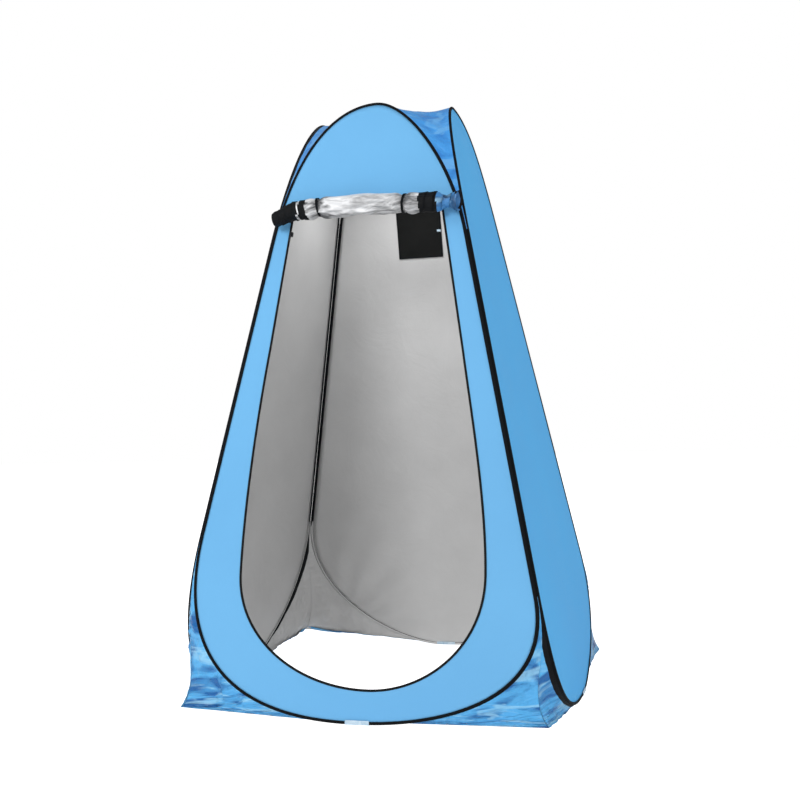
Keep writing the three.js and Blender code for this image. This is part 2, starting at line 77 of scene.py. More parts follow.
# ---- the tent's shape, as the CAD has it, in millimetres ----
HEIGHT = 1900
BASE_HALF = 610
TOP_HALF = 231
LEAN = math.atan((BASE_HALF - TOP_HALF) / HEIGHT)
SEAM_LOW = 368
SEAM_HIGH = 1475
HOOP_BOTTOM = 6.7
FERRULE_HALF = 16
BINDING_WIDTH = 9
BINDING_DEPTH = 6.4
SEAM_GAP = 1
OPEN_SEAM_GAP = 7
SIDES = ["front", "right", "back", "left"]

# Each hoop: top, crown and foot, then the handles of its left and right sides (crown, rise, fall, foot).
HOOPS = {
    "front": (1923, 16, 20, (170, 255, 335, 419), (106, 226, 315, 190)),
    "right": (1931, -57, -130, (170, 150, 300, 330), (285, 275, 270, 110)),
    "back": (1929, 0, 0, (130, 240, 280, 200), (150, 130, 300, 200)),
    "left": (1929, 0, 0, (120, 130, 300, 200), (125, 275, 345, 365)),
}
# The heights up the panels at which each corner's hoops part, from the front right anticlockwise.
SEAM_ENDS = [(SEAM_LOW, SEAM_HIGH), (SEAM_LOW, SEAM_HIGH), (500, 1640), (540, SEAM_HIGH)]
OPEN_CORNER = 2  # back left, where the ring of panels is not joined

DOOR_TOP = 1576
DOOR_STRAIGHT_TOP = 1540
DOOR_WIDEST = 428
DOOR_BOTTOM = 97
DOOR_FOOT = 50
DOOR_CORNER = {"run": 55, "ease": 22, "tuck": 4, "dip": 8}  # the rounded upper corners and their handles
DOOR_BULGE = {"out": 30, "down": 207, "up": 210}  # handles of the curve from the straight to the widest
# Each side of the door: top, straight's low end, x there, widest x, fall and foot handles.
DOOR_LEFT = (252, 1121, 305, 363, 194, 220)
DOOR_RIGHT = (244, 1093, 313, 388, 205, 165)

# Each skirt's corner: how far out from the axis, how high off the ground, and how late it swings out.
CORNER_FEET = [(560, 3, 2.5), (590, 3, 1), (550, 70, 2.5), (555, 18, 2.4)]
ROOF_SAG = 24  # between two hoop tops
ROOF_DROP = 38  # at the middle
ROLL_OUT = 44  # from the front panel to the rolled flap's middle
HOOP_STEPS = 40  # along a hoop's lower and upper curves
STRAIGHT_STEPS = 30  # along its corner seam


def panel_point(side, x, y, z=0.0):
    """A point of a panel, drawn flat in millimetres, stood in its place in the tent in metres."""
    sin, cos = math.sin(LEAN), math.cos(LEAN)
    stood = Vector((x, y * sin - z * cos - BASE_HALF, y * cos + z * sin))
    return Matrix.Rotation(side * math.pi / 2, 3, "Z") @ (stood * MM)


def panel_normal(side):
    return panel_point(side, 0, 0, 1) / MM - panel_point(side, 0, 0) / MM


def bezier(*handles, steps=HOOP_STEPS):
    a, b, c, d = (Vector(handle) for handle in handles)
    points = []
    for i in range(steps + 1):
        t = i / steps
        s = 1 - t
        points.append(a * s**3 + b * 3 * s * s * t + c * 3 * s * t * t + d * t**3)
    return points


def seam_half(height, gap):
    taper = math.sin(LEAN)
    fold = BASE_HALF - height * taper - BINDING_DEPTH / 2 * math.cos(LEAN)
    return fold - (gap + BINDING_WIDTH / 2) * math.hypot(1, taper)


def seam_ends(side, is_right):
    """The heights up the panel at which this side of its hoop leaves the corner seam."""
    return SEAM_ENDS[side if is_right else (side + 3) % 4]


def hoop_side(side, is_right, inset=0.0):
    """One side of a hoop, from its foot to its crown, as (x, y) points in millimetres."""
    name = SIDES[side]
    top, crown, foot, left, right = HOOPS[name]
    hand = 1 if is_right else -1
    crown_handle, rise, fall, foot_handle = right if is_right else left
    gap = OPEN_SEAM_GAP if name == "left" and not is_right else SEAM_GAP
    foot *= hand
    crown *= hand
    seam_low, seam_high = seam_ends(side, is_right)
    low = Vector((seam_half(seam_low, gap), seam_low))
    high = Vector((seam_half(seam_high, gap), seam_high))
    up = (high - low).normalized()
    bottom = Vector((foot + FERRULE_HALF, HOOP_BOTTOM))
    lower = bezier(bottom, (foot + foot_handle, HOOP_BOTTOM), low - up * fall, low)
    upper = bezier(high, high + up * rise, (crown + crown_handle, top), (crown, top))
    middle = [low.lerp(high, i / STRAIGHT_STEPS) for i in range(1, STRAIGHT_STEPS)]
    points = [Vector((foot, HOOP_BOTTOM))] + lower + middle + upper
    if inset:
        points = moved_in(points, inset)
    return [Vector((p.x * hand, p.y)) for p in points]


def moved_in(points, inset):
    """Moves an open line that rises on the right towards its left, by inset."""
    result = []
    for i, point in enumerate(points):
        before = points[max(i - 1, 0)]
        after = points[min(i + 1, len(points) - 1)]
        along = (after - before).normalized()
        result.append(point + Vector((-along.y, along.x)) * inset)
    return result


def spaced(points, count):
    """The same line as count evenly spaced points."""
    lengths = [0.0]
    for a, b in zip(points, points[1:]):
        lengths.append(lengths[-1] + (b - a).length)
    result = []
    at = 0
    for i in range(count):
        goal = lengths[-1] * i / (count - 1)
        while at < len(points) - 2 and lengths[at + 1] < goal:
            at += 1
        span = max(lengths[at + 1] - lengths[at], 1e-9)
        result.append(points[at].lerp(points[at + 1], min((goal - lengths[at]) / span, 1)))
    return result


def hoop_outline(side, inset, count):
    """The whole hoop as a closed line, anticlockwise from its foot."""
    right = hoop_side(side, True, inset)
    left = hoop_side(side, False, inset)
    return spaced(right + left[::-1], count + 1)[:-1]


def door_side(shape, foot):
    top, straight_low, straight, widest, fall, foot_handle = shape
    corner = bezier(
        (top - DOOR_CORNER["run"], DOOR_TOP),
        (top - DOOR_CORNER["ease"], DOOR_TOP),
        (top - DOOR_CORNER["tuck"], DOOR_TOP - DOOR_CORNER["dip"]),
        (top, DOOR_STRAIGHT_TOP),
        steps=10,
    )
    bulge = bezier(
        (straight, straight_low),
        (straight + DOOR_BULGE["out"], straight_low - DOOR_BULGE["down"]),
        (widest, DOOR_WIDEST + DOOR_BULGE["up"]),
        (widest, DOOR_WIDEST),
        steps=24,
    )
    low = bezier(
        (widest, DOOR_WIDEST),
        (widest, DOOR_WIDEST - fall),
        (foot + foot_handle, DOOR_BOTTOM),
        (foot, DOOR_BOTTOM),
    )
    return corner + bulge + low[1:]


def door_outline(count):
    """The door opening as a closed line, anticlockwise from its lowest point."""
    right = door_side(DOOR_RIGHT, DOOR_FOOT)[::-1]
    left = [Vector((-p.x, p.y)) for p in door_side(DOOR_LEFT, -DOOR_FOOT)]
    return spaced(right + left, count + 1)[:-1]


# ---- meshes ----


def new_piece(name, points, faces, corners, materials):
    """A smooth mesh piece. corners gives each face's UV points, in metres along the cloth."""
    mesh = bpy.data.meshes.new(name)
    mesh.from_pydata([tuple(p) for p in points], [], faces)
    layer = mesh.uv_layers.new(name="UVMap")
    flat = [uv for corner in corners for uv in corner]
    for loop, uv in zip(layer.data, flat):
        loop.uv = uv
    for polygon in mesh.polygons:
        polygon.use_smooth = True
    for material in materials:
        mesh.materials.append(material)
    piece = bpy.data.objects.new(name, mesh)
    bpy.context.collection.objects.link(piece)
    return piece


def grid_piece(name, rows, uvs, materials, wrap_rows=False, wrap_columns=False):
    """A piece from rows of points. uvs[r][c] has one more row or column where the grid closes."""
    height, width = len(rows), len(rows[0])
    points = [p for row in rows for p in row]
    faces = []
    corners = []
    for r in range(height if wrap_rows else height - 1):
        for c in range(width if wrap_columns else width - 1):
            r2, c2 = (r + 1) % height, (c + 1) % width
            faces.append((r * width + c, r * width + c2, r2 * width + c2, r2 * width + c))
            corners.append((uvs[r][c], uvs[r][c + 1], uvs[r + 1][c + 1], uvs[r + 1][c]))
    return new_piece(name, points, faces, corners, materials)


def clean(piece, distance=0.00002):
    """Joins the points that coincide and turns every face outwards."""
    work = bmesh.new()
    work.from_mesh(piece.data)
    bmesh.ops.remove_doubles(work, verts=work.verts, dist=distance)
    bmesh.ops.recalc_face_normals(work, faces=work.faces)
    work.to_mesh(piece.data)
    work.free()
    return piece


def apply_modifier(piece, kind, **settings):
    modifier = piece.modifiers.new(kind, kind)
    for key, value in settings.items():
        setattr(modifier, key, value)
    bpy.context.view_layer.objects.active = piece
    with bpy.context.temp_override(object=piece, active_object=piece):
        bpy.ops.object.modifier_apply(modifier=modifier.name)
    return piece


def face_along(piece, direction_at):
    """Flips the piece if its faces mostly look against direction_at(point)."""
    score = sum(p.normal.dot(direction_at(p.center)) * p.area for p in piece.data.polygons)
    if score < 0:
        piece.data.flip_normals()
    return piece


def lined(piece, direction_at, thickness=0.0008):
    """Gives an open sheet its thickness, with its second material on the inner face."""
    face_along(piece, direction_at)
    apply_modifier(piece, "SOLIDIFY", thickness=thickness, offset=0, material_offset=1)
    return piece


def smoothstep(t):
    t = min(max(t, 0.0), 1.0)
    return t * t * (3 - 2 * t)


def outward(point):
    return Vector((point.x, point.y, 0.15)).normalized()


# ---- materials ----


BANDS = 0.314  # the wave texture's scale that gives one band per metre


class Shader:
    """A material with short names for its nodes and links."""

    def __init__(self, name):
        self.material = bpy.data.materials.new(name)
        self.material.use_nodes = True
        self.nodes = self.material.node_tree.nodes
        self.links = self.material.node_tree.links
        self.surface = self.nodes["Principled BSDF"]

    def node(self, kind, inputs=(), **settings):
        made = self.nodes.new(kind)
        for key, value in settings.items():
            setattr(made, key, value)
        for key, value in dict(inputs).items():
            if isinstance(value, bpy.types.NodeSocket):
                self.links.new(value, made.inputs[key])
            else:
                made.inputs[key].default_value = value
        return made

    def uv(self, scale=(1, 1, 1), turn=0.0):
        coordinates = self.node("ShaderNodeTexCoord").outputs["UV"]
        inputs = {"Vector": coordinates, "Scale": scale, "Rotation": (0, 0, turn)}
        return self.node("ShaderNodeMapping", inputs).outputs[0]

    def place(self):
        return self.node("ShaderNodeTexCoord").outputs["Object"]

    def math(self, operation, a, b=0.0):
        return self.node("ShaderNodeMath", {0: a, 1: b}, operation=operation).outputs[0]

    def noise(self, vector, scale, detail=3.0, roughness=0.5, distortion=0.0):
        inputs = {"Vector": vector, "Scale": scale, "Detail": detail}
        inputs.update({"Roughness": roughness, "Distortion": distortion})
        return self.node("ShaderNodeTexNoise", inputs).outputs["Fac"]

    def spread(self, value, low, high, from_low=0.3, from_high=0.7):
        """Stretches a texture's middle range to low..high."""
        inputs = {"Value": value, "From Min": from_low, "From Max": from_high, "To Min": low, "To Max": high}
        return self.node("ShaderNodeMapRange", inputs).outputs[0]

    def blend_colour(self, factor, first, second):
        inputs = {"Factor": factor, 6: first, 7: second}
        return self.node("ShaderNodeMix", inputs, data_type="RGBA").outputs[2]

    def weave(self, vector, pitch):
        """The height of a plain weave with this thread pitch, from 0 to 1."""
        waves = []
        inputs = {"Vector": vector, "Scale": BANDS / pitch}
        inputs.update({"Distortion": 0.4, "Detail": 1.0, "Detail Scale": 2.0})
        for axis in ("X", "Y"):
            wave = self.node("ShaderNodeTexWave", inputs, wave_type="BANDS", bands_direction=axis)
            waves.append(wave.outputs["Fac"])
        return self.math("MULTIPLY", waves[0], waves[1])

    def bump(self, layers):
        """Stacks (height, depth in metres) layers into one normal."""
        normal = None
        for height, depth in layers:
            inputs = {"Height": height, "Strength": 1.0, "Distance": depth}
            if normal:
                inputs["Normal"] = normal
            normal = self.node("ShaderNodeBump", inputs).outputs[0]
        self.links.new(normal, self.surface.inputs["Normal"])

    def set(self, **inputs):
        for key, value in inputs.items():
            socket = self.surface.inputs[key.replace("_", " ")]
            if isinstance(value, bpy.types.NodeSocket):
                self.links.new(value, socket)
            else:
                socket.default_value = value
        return self


def linear(r, g, b):
    """A colour given as 0 to 255 values of a screen, as the shader wants it."""
    channels = [c / 255 for c in (r, g, b)]
    return tuple(c / 12.92 if c <= 0.04045 else ((c + 0.055) / 1.055) ** 2.4 for c in channels) + (1.0,)


def shell_fabric(name, light, dark, slub_colour):
    """Taut plain-woven polyester: the blue outside of the panels."""
    s = Shader(name)
    uv = s.uv()
    cloud = s.noise(uv, 2.2, 3)
    slub = s.noise(s.uv((900, 60, 1)), 1.0, 2)
    colour = s.blend_colour(s.spread(cloud, 0, 1), dark, light)
    colour = s.blend_colour(s.spread(slub, 0, 0.10), colour, slub_colour)
    s.set(Base_Color=colour, Roughness=s.spread(cloud, 0.60, 0.70), Sheen_Weight=0.12, Sheen_Roughness=0.5)
    s.set(Specular_IOR_Level=0.3)
    pucker = s.noise(uv, 9, 3, 0.6, 0.6)
    s.bump([(s.weave(uv, 0.0008), 0.0001), (pucker, 0.0012)])
    return s.material


PAINTED_SHADE_CREASE_DEPTH = 0.004  # linings with deeper creases than this also get painted shade in their creases and painted light between them


def lining_fabric(name, light, dark, stretch, crease_depth):
    """The silver coating on the inside of the cloth. stretch draws its creases out along the cloth."""
    s = Shader(name)
    uv = s.uv()
    sharp = crease_depth > PAINTED_SHADE_CREASE_DEPTH
    # Painted shade and light: on deeply creased linings this cloud sets dark shade in the creases and light
    # between them.
    cloud = s.noise(s.uv(stretch), 3.0, 4, 0.6, 1.0 if sharp else 0.0)
    shades = (0.40, 0.54) if sharp else (0.3, 0.7)
    colour = s.blend_colour(s.spread(cloud, 0, 1, *shades), dark, light)
    s.set(Base_Color=colour, Roughness=s.spread(cloud, 0.32, 0.5), Specular_IOR_Level=0.5)
    s.set(Metallic=0.2 if sharp else 0.1)
    crease = s.noise(s.uv(stretch, 0.15), 6, 5, 0.65, 1.2)
    s.bump([(s.weave(uv, 0.0008), 0.00008), (crease, crease_depth)])
    return s.material


def creased(s, uv, stretch, size):
    """Sharp, stretched crinkles, as light coated cloth takes when it is folded small."""
    warp = s.noise(uv, size * 0.35, 3, 0.6)
    shift = s.math("MULTIPLY", warp, 0.25)
    bent = s.node("ShaderNodeVectorMath", {0: uv, 1: shift}, operation="ADD").outputs[0]
    scaled = s.node("ShaderNodeMapping", {"Vector": bent, "Scale": stretch}).outputs[0]
    inputs = {"Vector": scaled, "Scale": size, "Randomness": 1.0}
    cells = s.node("ShaderNodeTexVoronoi", inputs, feature="DISTANCE_TO_EDGE").outputs["Distance"]
    return s.spread(cells, 0, 1, 0.0, 0.25)


def coated_fabric(name, light, dark, painted_highlight_colour, roughness=0.3):
    """Thin crinkled cloth with a plastic gloss: painted shade and light in broad folds, and painted
    highlights as pale streaks on ridges.
    """
    s = Shader(name)
    uv = s.uv()
    cloud = s.noise(s.uv((1.0, 1.3, 1), 0.5), 7, 3, 0.55, 1.2)
    painted_highlight_streak = s.noise(s.uv((0.8, 1.5, 1), -0.5), 10, 2, 0.5, 1.4)
    fine = creased(s, uv, (1.0, 0.45, 1), 34)
    broad = creased(s, uv, (1.0, 0.5, 1), 13)
    # Painted shade and light: the cloud darkens the folds towards the dark colour; the streaks below are
    # painted highlights.
    colour = s.blend_colour(s.spread(cloud, 0, 1, 0.36, 0.53), dark, light)
    colour = s.blend_colour(s.spread(painted_highlight_streak, 0, 0.65, 0.54, 0.64), colour, painted_highlight_colour)
    s.set(Base_Color=colour, Roughness=s.spread(cloud, roughness - 0.06, roughness + 0.1))
    s.set(Specular_IOR_Level=0.4, Coat_Weight=0.15, Coat_Roughness=0.2)
    s.bump([(s.weave(uv, 0.0007), 0.00006), (fine, 0.0007), (broad, 0.002), (cloud, 0.006)])
    return s.material


STITCH_PITCH = 0.0042
STITCH_DASH = (0.22, 0.86)  # the share of each pitch that the thread shows
STITCH_ROW = 0.0026  # from the tape's edge
THREAD_HALF = 0.00035


def binding_tape():
    """Black woven tape with a row of lock stitches; U runs along it and V round it."""
    s = Shader("black_tape")
    uv = s.uv()
    u = s.node("ShaderNodeSeparateXYZ", {0: uv}).outputs[0]
    v = s.node("ShaderNodeSeparateXYZ", {0: uv}).outputs[1]
    ribs = {"Vector": uv, "Scale": 190.0, "Distortion": 0.5}
    rib = s.node("ShaderNodeTexWave", ribs, wave_type="BANDS", bands_direction="X").outputs["Fac"]
    pitch = s.math("FRACT", s.math("MULTIPLY", u, 1 / STITCH_PITCH))
    begun = s.math("GREATER_THAN", pitch, STITCH_DASH[0])
    dash = s.math("MULTIPLY", begun, s.math("LESS_THAN", pitch, STITCH_DASH[1]))
    row = s.math("LESS_THAN", s.math("ABSOLUTE", s.math("SUBTRACT", v, STITCH_ROW)), THREAD_HALF)
    stitch = s.math("MULTIPLY", dash, row)
    wear = s.noise(uv, 30, 3)
    cloth = s.blend_colour(s.spread(wear, 0, 1), linear(4, 6, 9), linear(12, 16, 21))
    colour = s.blend_colour(stitch, cloth, linear(30, 34, 39))
    s.set(Base_Color=colour, Roughness=s.spread(wear, 0.6, 0.8), Specular_IOR_Level=0.12)
    s.bump([(rib, 0.00012), (stitch, 0.0003)])
    return s.material


def ribbed_black(name):
    """Coarse black cloth, as wound edge tape and as a coil of zip teeth."""
    s = Shader(name)
    uv = s.uv()
    wear = s.noise(uv, 40, 3)
    colour = s.blend_colour(s.spread(wear, 0, 1), linear(4, 5, 7), linear(17, 20, 24))
    s.set(Base_Color=colour, Roughness=s.spread(wear, 0.5, 0.7), Specular_IOR_Level=0.15)
    s.bump([(s.weave(uv, 0.0012), 0.0002), (wear, 0.001)])
    return s.material


def metal(name, colour, roughness):
    s = Shader(name)
    place = s.place()
    wear = s.noise(place, 180, 4)
    bright = tuple(min(c * 1.5 + 0.02, 1) for c in colour[:3]) + (1,)
    tone = s.blend_colour(s.spread(wear, 0, 0.5), colour, bright)
    s.set(Base_Color=tone, Metallic=0.9, Roughness=s.spread(wear, roughness - 0.08, roughness + 0.12))
    s.bump([(s.noise(place, 900, 2), 0.00005)])
    return s.material


def pocket_weave():
    """Open black weave."""
    s = Shader("pocket_black")
    uv = s.uv()
    threads = s.weave(uv, 0.0032)
    cloud = s.noise(uv, 14, 3)
    colour = s.blend_colour(s.spread(threads, 0, 1, 0.1, 0.8), linear(3, 4, 4), linear(12, 14, 13))
    colour = s.blend_colour(s.spread(cloud, 0, 0.4), colour, linear(17, 19, 19))
    s.set(Base_Color=colour, Roughness=s.spread(cloud, 0.6, 0.8), Sheen_Weight=0.03, Sheen_Roughness=0.5)
    s.set(Specular_IOR_Level=0.2)
    s.bump([(threads, 0.0005), (cloud, 0.003)])
    return s.material


def patch_fabric():
    s = Shader("pale_patch")
    uv = s.uv()
    cloud = s.noise(uv, 40, 4, 0.6, 0.6)
    colour = s.blend_colour(s.spread(cloud, 0, 1), linear(168, 200, 222), linear(222, 236, 245))
    s.set(Base_Color=colour, Roughness=s.spread(cloud, 0.25, 0.42), Coat_Weight=0.4, Coat_Roughness=0.2)
    s.bump([(s.weave(uv, 0.0008), 0.0001), (cloud, 0.003)])
    return s.material


BLUE = shell_fabric("panel_blue", linear(112, 184, 234), linear(106, 178, 229), linear(91, 162, 214))
# Painted shade: a copy of the panel blue with a deeper, more saturated tint, standing in for how the side
# panels look in shade.
SHADED_SIDE_BLUE = shell_fabric("panel_blue_shaded_side", linear(70, 186, 252), linear(65, 180, 248), linear(54, 164, 234))
LINING = lining_fabric("silver_lining", linear(212, 212, 212), linear(201, 201, 201), (1, 1, 1), 0.003)
# Painted shade and highlights: the roll's lining, with dark streaks painted into its folds and light ones
# between them.
PAINTED_FOLD_LINING = lining_fabric(
    "silver_lining_painted_folds", linear(232, 233, 235), linear(96, 97, 99), (1.7, 5.5, 1), 0.005
)
# Painted shade and highlights: in each coated blue, the dark colour is shade painted into the folds and the
# third colour a painted highlight along the ridges.
SKIRT_BLUE = coated_fabric(
    "skirt_coated_blue", linear(84, 178, 238), linear(14, 100, 170), linear(160, 218, 248)
)
ROOF_BLUE = coated_fabric(
    "roof_coated_blue", linear(64, 154, 230), linear(46, 128, 208), linear(112, 182, 238), 0.42
)
NECK_BLUE = coated_fabric(
    "neck_coated_blue", linear(60, 128, 190), linear(10, 34, 62), linear(150, 200, 235), 0.4
)
TAPE = binding_tape()
WOUND = ribbed_black("black_wound_tape")
STEEL = metal("spring_steel", linear(140, 144, 150), 0.3)
ZIP_BLACK = metal("zip_black", linear(30, 31, 34), 0.4)
TEETH = ribbed_black("zip_teeth")
POCKET = pocket_weave()
PATCH = patch_fabric()

# ---- panels ----
PANEL_INSET = 2.2  # the cloth ends inside the binding
SLACK_FOOT = (420, 60)  # where the back panel's low creases fan out from: x and height
SLACK_TOP = 640  # how far up they reach
SLACK_FADE = 420  # the height over which they grow
SLACK_DEPTH = 5


def ripple(side, x, y, edge):
    """How far the stretched cloth stands out of its plane, in millimetres. edge is 0 at the hoop."""
    seat = Vector((x / 260, y / 520, side * 7.3))
    broad = noise.noise(seat) * 3.0
    fine = noise.noise(Vector((x / 70, y / 120, side * 3.1 + 20))) * 0.5
    pull = low_creases(x, y) if SIDES[side] == "back" else 0.0
    return (broad + fine + pull) * min(edge * 6, 1)


def low_creases(x, y):
    """Slack creases that run up across the lower back panel from the foot of its left-hand corner."""
    strength = smoothstep((SLACK_TOP - y) / SLACK_FADE)
    if strength <= 0:
        return 0.0
    foot_x, foot_y = SLACK_FOOT
    reach = math.hypot(x - foot_x, y - foot_y)
    angle = math.atan2(y - foot_y, foot_x - x)
    fan = math.sin(angle * 15 + 1.6 * noise.noise(Vector((x / 150, y / 150, 4.0))) + reach / 260)
    ridge = math.copysign(abs(fan) ** 0.7, fan)
    fade = 0.35 + 0.65 * smoothstep(1.3 - reach / 620)
    return strength * fade * SLACK_DEPTH * ridge


def whole_panel(side, rows=150, columns=44):
    left = spaced(hoop_side(side, False, PANEL_INSET), rows)
    right = spaced(hoop_side(side, True, PANEL_INSET), rows)
    points, uvs = [], []
    for a, b in zip(left, right):
        row, uv = [], []
        for c in range(columns):
            t = c / (columns - 1)
            p = a.lerp(b, t)
            near = min(t, 1 - t) * (b - a).length / 200
            row.append(panel_point(side, p.x, p.y, ripple(side, p.x, p.y, near)))
            uv.append((p.x * MM, p.y * MM))
        points.append(row)
        uvs.append(uv)
    piece = grid_piece(f"{SIDES[side]}_panel_cloth", points, uvs, [SHADED_SIDE_BLUE, LINING])
    return finish_panel(piece, side)


def door_panel(count=300, rings=22):
    outer = hoop_outline(0, PANEL_INSET, count)
    inner = door_outline(count)
    points, uvs = [], []
    for r in range(rings):
        t = r / (rings - 1)
        row, uv = [], []
        for a, b in zip(inner, outer):
            p = a.lerp(b, t)
            row.append(panel_point(0, p.x, p.y, ripple(0, p.x, p.y, min(t, 1 - t) * 1.2)))
            uv.append((p.x * MM, p.y * MM))
        points.append(row)
        uvs.append(uv + uv[:1])
    piece = grid_piece("front_panel_cloth", points, uvs, [BLUE, LINING], wrap_columns=True)
    return finish_panel(piece, 0)


def finish_panel(piece, side):
    name = SIDES[side]
    clean(piece)
    normal = panel_normal(side)
    lined(piece, lambda point: normal)
    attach(piece, name)
    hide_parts(f"{name}_panel")
    return piece


def polygon_area(points):
    """The area inside a closed line, in square metres."""
    pairs = zip(points, points[1:] + points[:1])
    return abs(sum(a.x * b.y - b.x * a.y for a, b in pairs)) / 2 * MM * MM


panels = [door_panel()] + [whole_panel(side) for side in (1, 2, 3)]

# ---- bindings ----


def binding_profile():
    """The folded tape's section: x out of the hoop, y across its plane."""
    deep = BINDING_DEPTH / 2
    wall = 0.9
    bend = BINDING_WIDTH / 2 - deep
    edge = -BINDING_WIDTH / 2
    outer = [(edge, -deep), (edge / 2, -deep)] + arc(bend, deep, -90, 90, 8)
    outer += [(edge / 2, deep), (edge, deep)]
    inner = [(edge, deep - wall)] + arc(bend, deep - wall, 90, -90, 6) + [(edge, wall - deep)]
    return [Vector(point) for point in outer + inner]


def arc(x, radius, start, end, steps):
    angles = [math.radians(start + (end - start) * i / steps) for i in range(steps + 1)]
    return [Vector((x + radius * math.cos(a), radius * math.sin(a))) for a in angles]


def swept(name, side, outline, profile, material):
    """Sweeps a section round a closed outline of a panel; UVs are in metres along and round it."""
    count = len(outline)
    points = []
    for i, here in enumerate(outline):
        along = (outline[(i + 1) % count] - outline[i - 1]).normalized()
        out = Vector((along.y, -along.x))
        points.append([panel_point(side, here.x + out.x * s.x, here.y + out.y * s.x, s.y) for s in profile])
    step = sum((outline[(i + 1) % count] - p).length for i, p in enumerate(outline)) / count * MM
    around = [0.0]
    for a, b in zip(profile, profile[1:] + profile[:1]):
        around.append(around[-1] + (b - a).length * MM)
    uvs = [[(i * step, v) for v in around] for i in range(count + 1)]
    piece = grid_piece(name, points, uvs, [material], wrap_rows=True, wrap_columns=True)
    return clean(piece, 1e-7)


def binding(side):
    name = SIDES[side]
    piece = swept(f"{name}_binding_tape", side, hoop_outline(side, 0, 420), binding_profile(), TAPE)
    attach(piece, name)
    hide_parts(f"{name}_binding")


for side in range(4):
    binding(side)
    for part in ("hoop_wire", "hoop_ferrule"):
        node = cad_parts[f"{SIDES[side]}_{part}"]
        node.data.materials.clear()
        node.data.materials.append(STEEL)


FACING_TOP = 500  # how far up the panel the silver facing over a binding starts
FACING_SECTION = [(5.6, -1.0), (1.5, -4.0), (-2.0, -3.7)]  # inset from the hoop's middle, and depth
FACING_EDGE = -2.6  # the depth of its outer edge
FACING_REACH = {1: 3.7, 2: 4.9, 3: 4.9}  # how far out from each hoop's middle that edge wraps
FACING_COUNT = 240  # points along it


def inner_facing(side):
    """A silver tape over the inside of the binding, round the lower end of the hoop."""
    name = SIDES[side]
    edges = []
    section = FACING_SECTION + [(-FACING_REACH[side], FACING_EDGE)]
    for inset, _ in section:
        right = [p for p in hoop_side(side, True, inset) if p.y < FACING_TOP]
        left = [p for p in hoop_side(side, False, inset) if p.y < FACING_TOP]
        edges.append(spaced(left[::-1] + right, FACING_COUNT))
    rows, uvs = [], []
    for i, across in enumerate(zip(*edges)):
        rows.append([panel_point(side, p.x, p.y, depth) for p, (_, depth) in zip(across, section)])
        uvs.append([(i * 0.007, k * 0.004) for k in range(len(section))])
    piece = grid_piece(f"{name}_inner_facing_tape", rows, uvs, [LINING, LINING])
    normal = -panel_normal(side)
    lined(piece, lambda point: normal, 0.0006)
    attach(piece, name)


for side in (1, 2, 3):
    inner_facing(side)

# ---- hem patches ----
PATCH_HALF = 36  # half a patch's length
PATCH_ABOVE = 3  # how far it reaches above the binding
PATCH_STEPS = 24


def patch_section():
    """A patch's section, (out of the panel, height), from its inner edge round the hoop to its outer edge."""
    inside = BINDING_DEPTH / 2 + 0.4
    low = HOOP_BOTTOM - BINDING_WIDTH / 2 - 0.5
    top = HOOP_BOTTOM + BINDING_WIDTH / 2 + PATCH_ABOVE
    half = [(inside * 0.8, low + 0.2), (inside + 0.5, low + 2.5), (inside + 0.6, top)]
    return [(-z, y) for z, y in reversed(half)] + [(0, low)] + half


def hem_patch(side):
    """A pale patch folded up round the bottom of the binding."""
    name = SIDES[side]
    foot = HOOPS[name][2]
    section = [Vector(point) for point in patch_section()]
    points, uvs = [], []
    for r in range(PATCH_STEPS + 1):
        x = foot - PATCH_HALF + 2 * PATCH_HALF * r / PATCH_STEPS
        crumple = [noise.noise(Vector((x / 9, i * 0.7, side + 2.0))) * 0.7 for i in range(len(section))]
        row = [panel_point(side, x, s.y + 0.3 * d, s.x + d * 0.5) for s, d in zip(section, crumple)]
        points.append(row)
        uvs.append([(x * MM, i * 0.004) for i in range(len(section))])
    piece = grid_piece(f"{name}_hem_patch_cloth", points, uvs, [PATCH, PATCH])
    centre = panel_point(side, foot, HOOP_BOTTOM)
    face_along(piece, lambda point: point - centre)
    apply_modifier(piece, "SUBSURF", levels=2)
    apply_modifier(piece, "SOLIDIFY", thickness=0.0008, offset=0)
    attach(piece, name)
    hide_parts(f"hem_patch_{name}")


for side in range(4):
    hem_patch(side)

# ---- loose cloth at the corners ----
# The bodies beside each corner.
CORNER_NAMES = ["front_right", "back_right", "back_left", "front_left"]
JOINED_CORNERS = (0, 1, 3)
FRONT_LEFT = 3
CLOTH_TUCK = 1.8  # how far loose cloth reaches into a binding
CRINKLES = [(9, 0.62), (24, 0.29), (62, 0.09)]  # how fine each layer of crumples is, and its share
ON_GROUND = 0.001


def crinkle(point, seed):
    """The crumpled surface of loose coated cloth, from about -1 to 1, with sharp ridges."""
    p = Vector((point.x, point.y, point.z * 0.7))
    p += noise.noise_vector(p * 6 + Vector((seed, 1, 2))) * 0.03
    height = 0.0
    for axis, (fineness, share) in enumerate(CRINKLES):
        place = Vector((0, 0, 0))
        place[axis] = seed
        height += share * (1 - 2.6 * abs(noise.noise(p * fineness + place)))
    return height - 0.3


def shares(start, end, steps):
    return [start + (end - start) * i / steps for i in range(steps + 1)]


def half_edge(side, is_right):
    """The outer edge of a binding on one side, from its foot to its crown."""
    line = hoop_side(side, is_right, -BINDING_WIDTH / 2 + CLOTH_TUCK)
    crown = max(range(len(line)), key=lambda i: line[i].y)
    return line[: crown + 1]


def bend_at(piece):
    """Bakes the piece's placement into its mesh."""
    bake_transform(piece)


